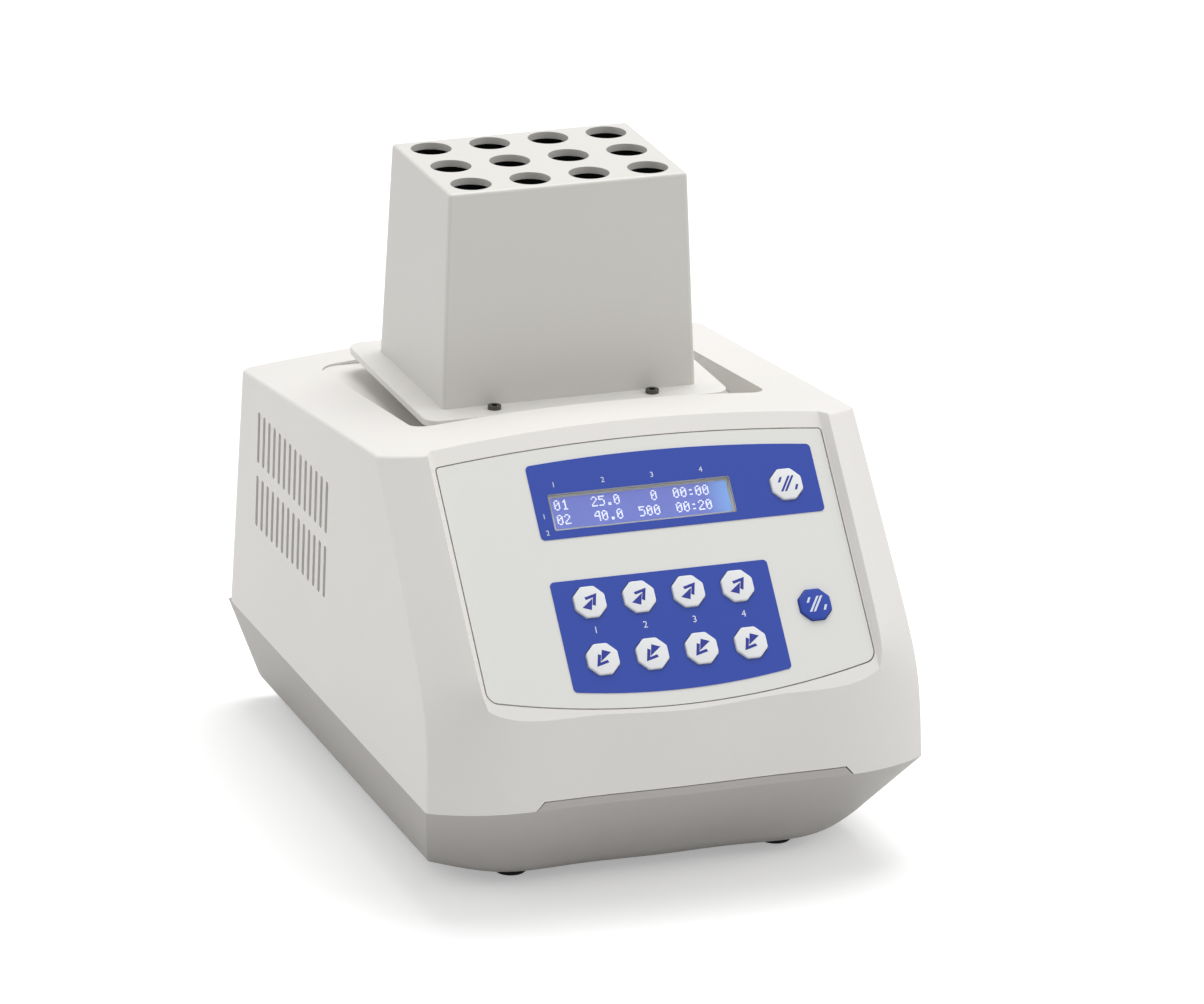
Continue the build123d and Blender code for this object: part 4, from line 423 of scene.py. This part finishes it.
def stroke_outlines():
    """Two slanting bars between two short ticks."""
    bars = [[(-2.6 + s, -2.6), (-1.8 + s, -2.6), (1.6 + s, 2.6), (0.8 + s, 2.6)] for s in (0.0, 1.3)]
    left_tick = [(-3.0, 0.6), (-2.2, 0.6), (-1.2, 2.4), (-2.0, 2.4)]
    right_tick = [(2.2, -2.4), (3.0, -2.4), (3.8, -0.6), (3.0, -0.6)]
    return bars + [left_tick, right_tick]


def make_keys(white, blue, ink, pale):
    """All keycaps with their printed marks. Each rides with its own key."""
    for name, (x, down) in key_places().items():
        dark = name == "key_stop"
        cap = keycap(name + "_cap", x, down, blue if dark else white)
        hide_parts(name)
        side = name in ("key_run", "key_stop")
        outlines = stroke_outlines() if side else arrow_outlines()
        turn = math.pi if "down" in name else 0.0
        mark = printed_shape(name + "_mark", outlines, pale if dark else ink, x, down, KEY_PROUD, turn)
        for piece in (cap, mark):
            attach(piece, name + "_button")


# Display

# Dot-matrix characters from the top row down, with # for a lit dot
CHARACTERS = {
    "0": "-##- #--# #-## ##-# #--# #--# -##-".split(),
    "1": "--#- -##- --#- --#- --#- --#- -###".split(),
    "2": "-##- #--# ---# --#- -#-- #--- ####".split(),
    "4": "--## -#-# #--# #### ---# ---# ---#".split(),
    "5": "#### #--- ###- ---# ---# ---# ###-".split(),
    ":": "---- ---- -##- ---- ---- -##- ----".split(),
    ".": "---- ---- ---- ---- ---- -##- -##-".split(),
    " ": "---- ---- ---- ---- ---- ---- ----".split(),
}


def display_dots(name, lines, material):
    """Rows of dot-matrix characters on the display glass."""
    bm = bmesh.new()
    scale = Matrix.Diagonal((DOT_SIZE, DOT_SIZE, INK, 1))
    for down, text in lines:
        for column, character in enumerate(text):
            for line, cells in enumerate(CHARACTERS[character]):
                for dot, cell in enumerate(cells):
                    if cell == "#":
                        x = -WINDOW_HALF_X + DOT_MARGIN + (column * CHARACTER_STEP + dot) * DOT_PITCH
                        place = bay_matrix(x, down + line * DOT_PITCH, GLASS_FACE + INK / 2)
                        bmesh.ops.create_cube(bm, size=1.0, matrix=place @ scale)
    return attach(finished(name, bm, material), "housing")


def number_label(name, text, x, down, size, material):
    """Plain number printed on the panel."""
    curve = bpy.data.curves.new(name, "FONT")
    curve.body = text
    curve.size = size
    curve.align_x = "CENTER"
    curve.extrude = INK / 2
    lettering = bpy.data.objects.new(name, curve)
    bpy.context.scene.collection.objects.link(lettering)
    bpy.context.view_layer.update()
    mesh = bpy.data.meshes.new_from_object(lettering)
    bpy.data.objects.remove(lettering)
    mesh.transform(bay_matrix(x, down, FILM_THICKNESS + INK / 2))
    mesh.materials.clear()
    mesh.materials.append(material)
    piece = bpy.data.objects.new(name, mesh)
    bpy.context.scene.collection.objects.link(piece)
    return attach(piece, "housing")


def make_print(pale):
    """Numbers for the columns of keys, and for the display's columns and rows."""
    middle = (KEY_UP_ROW + KEY_DOWN_ROW) / 2
    for i in range(KEY_COUNT):
        x = (i - (KEY_COUNT - 1) / 2) * KEY_PITCH
        text = str(i + 1)
        number_label(f"keypad_number_{text}", text, x, middle + KEY_NUMBER_DROP, KEY_NUMBER, pale)
        number_label(f"column_number_{text}", text, x - COLUMN_NUMBER_SHIFT, WINDOW_TOP - COLUMN_NUMBER_RISE,
                     COLUMN_NUMBER, pale)
    for row in (1, 2):
        down = WINDOW_TOP + (FIRST_ROW + ROW_STEP * row) * (WINDOW_BOTTOM - WINDOW_TOP)
        number_label(f"row_number_{row}", str(row), -WINDOW_HALF_X - ROW_NUMBER_GAP, down, ROW_NUMBER, pale)


# Ledge in the pocket

def rounded_loop(side=0.0, front=0.0, back=0.0):
    """Corner-rounded outline of the pocket, moved inwards at its sides, front and back, as points in plan."""
    points = []
    half_x = POCKET_HALF_X - side - POCKET_CORNER
    near = POCKET_FRONT + front + POCKET_CORNER
    far = POCKET_BACK - back - POCKET_CORNER
    for quarter, (x, y) in enumerate(((half_x, far), (-half_x, far), (-half_x, near), (half_x, near))):
        for step in range(CORNER_STEPS + 1):
            angle = (quarter + step / CORNER_STEPS) * math.pi / 2
            points.append((x + POCKET_CORNER * math.cos(angle), y + POCKET_CORNER * math.sin(angle)))
    return points


def make_ledge(material):
    """Flat ledge round the inside of the pocket, under the edge of the moving flange."""
    bm = bmesh.new()
    outer = [bm.verts.new((x, y, LEDGE_TOP)) for x, y in rounded_loop()]
    inner = [bm.verts.new((x, y, LEDGE_TOP)) for x, y in rounded_loop(LEDGE_SIDE, LEDGE_FRONT, LEDGE_BACK)]
    for i in range(len(outer)):
        j = (i + 1) % len(outer)
        bm.faces.new((outer[i], outer[j], inner[j], inner[i]))
    raised = bmesh.ops.extrude_face_region(bm, geom=bm.faces[:])["geom"]
    lowered = [g for g in raised if isinstance(g, bmesh.types.BMVert)]
    bmesh.ops.translate(bm, vec=(0, 0, -LEDGE_THICKNESS), verts=lowered)
    bmesh.ops.recalc_face_normals(bm, faces=bm.faces)
    piece = finished("pocket_ledge", bm, material)
    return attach(piece, "housing")


# Finishes of the CAD nodes

def dress(nodes, material, names):
    """Gives one material to several CAD nodes."""
    for name in names.split():
        mesh = nodes[name].data
        mesh.materials.clear()
        mesh.materials.append(material)


def dress_frame(nodes):
    """Finish of every CAD node that no other piece replaces."""
    steel = brushed_metal("ground_steel", "#b9babb", 0.3, 0, 0.4 * MM)
    aluminium = brushed_metal("machined_aluminium", "#c6c8ca", 0.38, 2, 0.5 * MM)
    black = textured_abs("black_glass_filled_nylon", "#1b1b1c", "#242426", 0.5, 0.5)
    dress(nodes, textured_abs("ivory_abs", "#ece9e6", "#e8e6e1", 0.42, 0.25), "upper_housing")
    dress(nodes, textured_abs("warm_grey_abs", "#bdbab6", "#b7b4b0", 0.45, 0.3), "base_tray")
    dress(nodes, powder_coat("light_grey_powder_coat", "#dddbd6", 0.36), "block_cover")
    dress(nodes, powder_coat("pale_powder_coat", "#ebe9e5", 0.4), "cover_flange")
    dress(nodes, printed_polycarbonate("satin_white_polycarbonate", "#e6e6e2", 0.38), "control_panel")
    dress(nodes, printed_polycarbonate("blue_printed_polycarbonate", "#2c49ad", 0.3), "panel_overlays")
    dress(nodes, clear_acrylic(), "display_window")
    dress(nodes, backlit_display(), "lcd_glass")
    dress(nodes, solder_mask(), "keypad_board main_board")
    dress(nodes, black_rubber(), "rubber_feet drive_belt")
    dress(nodes, enamelled_copper(), "motor_stator")
    dress(nodes, alumina_ceramic(), "thermoelectric_modules")
    dress(nodes, zinc_sheet(), "chassis_plate drive_deck rear_panel deck_pillars power_supply motor_housing")
    dress(nodes, textured_abs("grey_ribbon_insulation", "#8b8c90", "#808186", 0.5, 0.2), "ribbon_cable")
    dress(nodes, black, "lcd_module fan_frame fan_rotor power_inlet fuse_drawer power_switch switch_rocker")
    dress(nodes, steel, "housing_screws chassis_screws deck_bearings carriage_bearing main_shaft "
                        "motor_shaft fan_guard temperature_sensor counterweight idler_crank_1 idler_crank_2 "
                        "idler_crank_3 idler_crank_4")
    dress(nodes, brushed_metal("dark_zinc_screw", "#5c5a58", 0.3, 0, 0.4 * MM), "flange_screws")
    dress(nodes, aluminium, "bearing_housing shaft_pulley motor_pulley carriage_plate flange_posts heat_sink "
                            "heat_spreader")
    dress(nodes, brushed_metal("black_anodised_aluminium", "#2b2c2d", 0.45, 2, 0.5 * MM), "tube_block")


# Stage

def make_stage():
    """Pale floor that shows white to the camera and keeps the object's shadow."""
    bm = bmesh.new()
    bmesh.ops.create_grid(bm, x_segments=1, y_segments=1, size=FLOOR_SIZE)
    material, tree, shader, _ = surface("white_sweep")
    shader.inputs["Base Color"].default_value = (FLOOR_ALBEDO, FLOOR_ALBEDO, FLOOR_ALBEDO, 1)
    shader.inputs["Roughness"].default_value = 0.9
    ray = node(tree, "ShaderNodeLightPath")
    glow = node(tree, "ShaderNodeEmission", {"Strength": FLOOR_GLOW})
    both = node(tree, "ShaderNodeAddShader", {0: shader.outputs["BSDF"], 1: glow.outputs["Emission"]})
    seen = node(tree, "ShaderNodeMixShader", {0: ray.outputs["Is Camera Ray"], 1: shader.outputs["BSDF"],
                                              2: both.outputs["Shader"]})
    tree.links.new(seen.outputs["Shader"], tree.nodes["Material Output"].inputs["Surface"])
    finished("floor", bm, material)


def make_world():
    """Even studio light, and pure white where the camera looks past the object or through its window."""
    world = bpy.data.worlds.new("studio")
    bpy.context.scene.world = world
    world.use_nodes = True
    tree = world.node_tree
    ray = node(tree, "ShaderNodeLightPath")
    direct = node(tree, "ShaderNodeMath", {0: ray.outputs["Is Camera Ray"],
                                           1: ray.outputs["Is Transmission Ray"]}, operation="MAXIMUM")
    strength = node(tree, "ShaderNodeMapRange", {"Value": direct.outputs[0], "To Min": WORLD_LIGHT,
                                                 "To Max": 1.0})
    background = tree.nodes["Background"]
    background.inputs["Color"].default_value = (1, 1, 1, 1)
    tree.links.new(strength.outputs["Result"], background.inputs["Strength"])


def softbox(name, place, target, size, power):
    """Square area lamp turned to face a point."""
    light = bpy.data.lights.new(name, "AREA")
    light.size = size
    light.energy = power
    lamp = bpy.data.objects.new(name, light)
    lamp.location = place
    lamp.rotation_euler = (Vector(target) - Vector(place)).to_track_quat("-Z", "Y").to_euler()
    bpy.context.scene.collection.objects.link(lamp)


def make_camera():
    """Long lens from the front left, as the photograph was taken."""
    azimuth = math.radians(CAMERA_AZIMUTH)
    elevation = math.radians(CAMERA_ELEVATION)
    back = Vector((-math.sin(azimuth) * math.cos(elevation), -math.cos(azimuth) * math.cos(elevation),
                   math.sin(elevation)))
    camera = bpy.data.cameras.new("camera")
    camera.lens = CAMERA_LENS
    camera.sensor_width = SENSOR_WIDTH
    camera.clip_end = CAMERA_REACH
    holder = bpy.data.objects.new("camera", camera)
    bpy.context.scene.collection.objects.link(holder)
    level = (-back).to_track_quat("-Z", "Y").to_matrix().to_4x4()
    roll = Matrix.Rotation(math.radians(CAMERA_ROLL), 4, "Z")
    holder.matrix_world = Matrix.Translation(CAMERA_TARGET + back * CAMERA_DISTANCE) @ level @ roll
    bpy.context.scene.camera = holder


# Making

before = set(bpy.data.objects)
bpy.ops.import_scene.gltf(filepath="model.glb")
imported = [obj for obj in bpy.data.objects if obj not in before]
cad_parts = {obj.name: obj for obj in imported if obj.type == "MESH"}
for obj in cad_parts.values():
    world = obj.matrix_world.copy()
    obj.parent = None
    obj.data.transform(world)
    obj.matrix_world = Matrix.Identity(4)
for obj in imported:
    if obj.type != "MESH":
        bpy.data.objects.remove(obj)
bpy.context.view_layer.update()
bpy.context.scene.view_settings.view_transform = "Standard"
make_camera()
make_stage()
make_world()
for softbox_name, settings in SOFTBOXES.items():
    softbox(softbox_name, *settings)
dress_frame(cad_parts)
make_ledge(bpy.data.materials["ivory_abs"])
blue_ink = plain_ink("dark_blue_ink", "#27349a")
pale_ink = plain_ink("pale_ink", "#dfe4f2")
white_keys = silicone_rubber("white_silicone_rubber", "#eceef0")
blue_keys = silicone_rubber("blue_silicone_rubber", "#2c49ad")
make_keys(white_keys, blue_keys, blue_ink, pale_ink)
display_dots("display_dots", DISPLAY_ROWS, plain_ink("lit_display_dot", "#eef2ff", 0.6))
make_print(pale_ink)
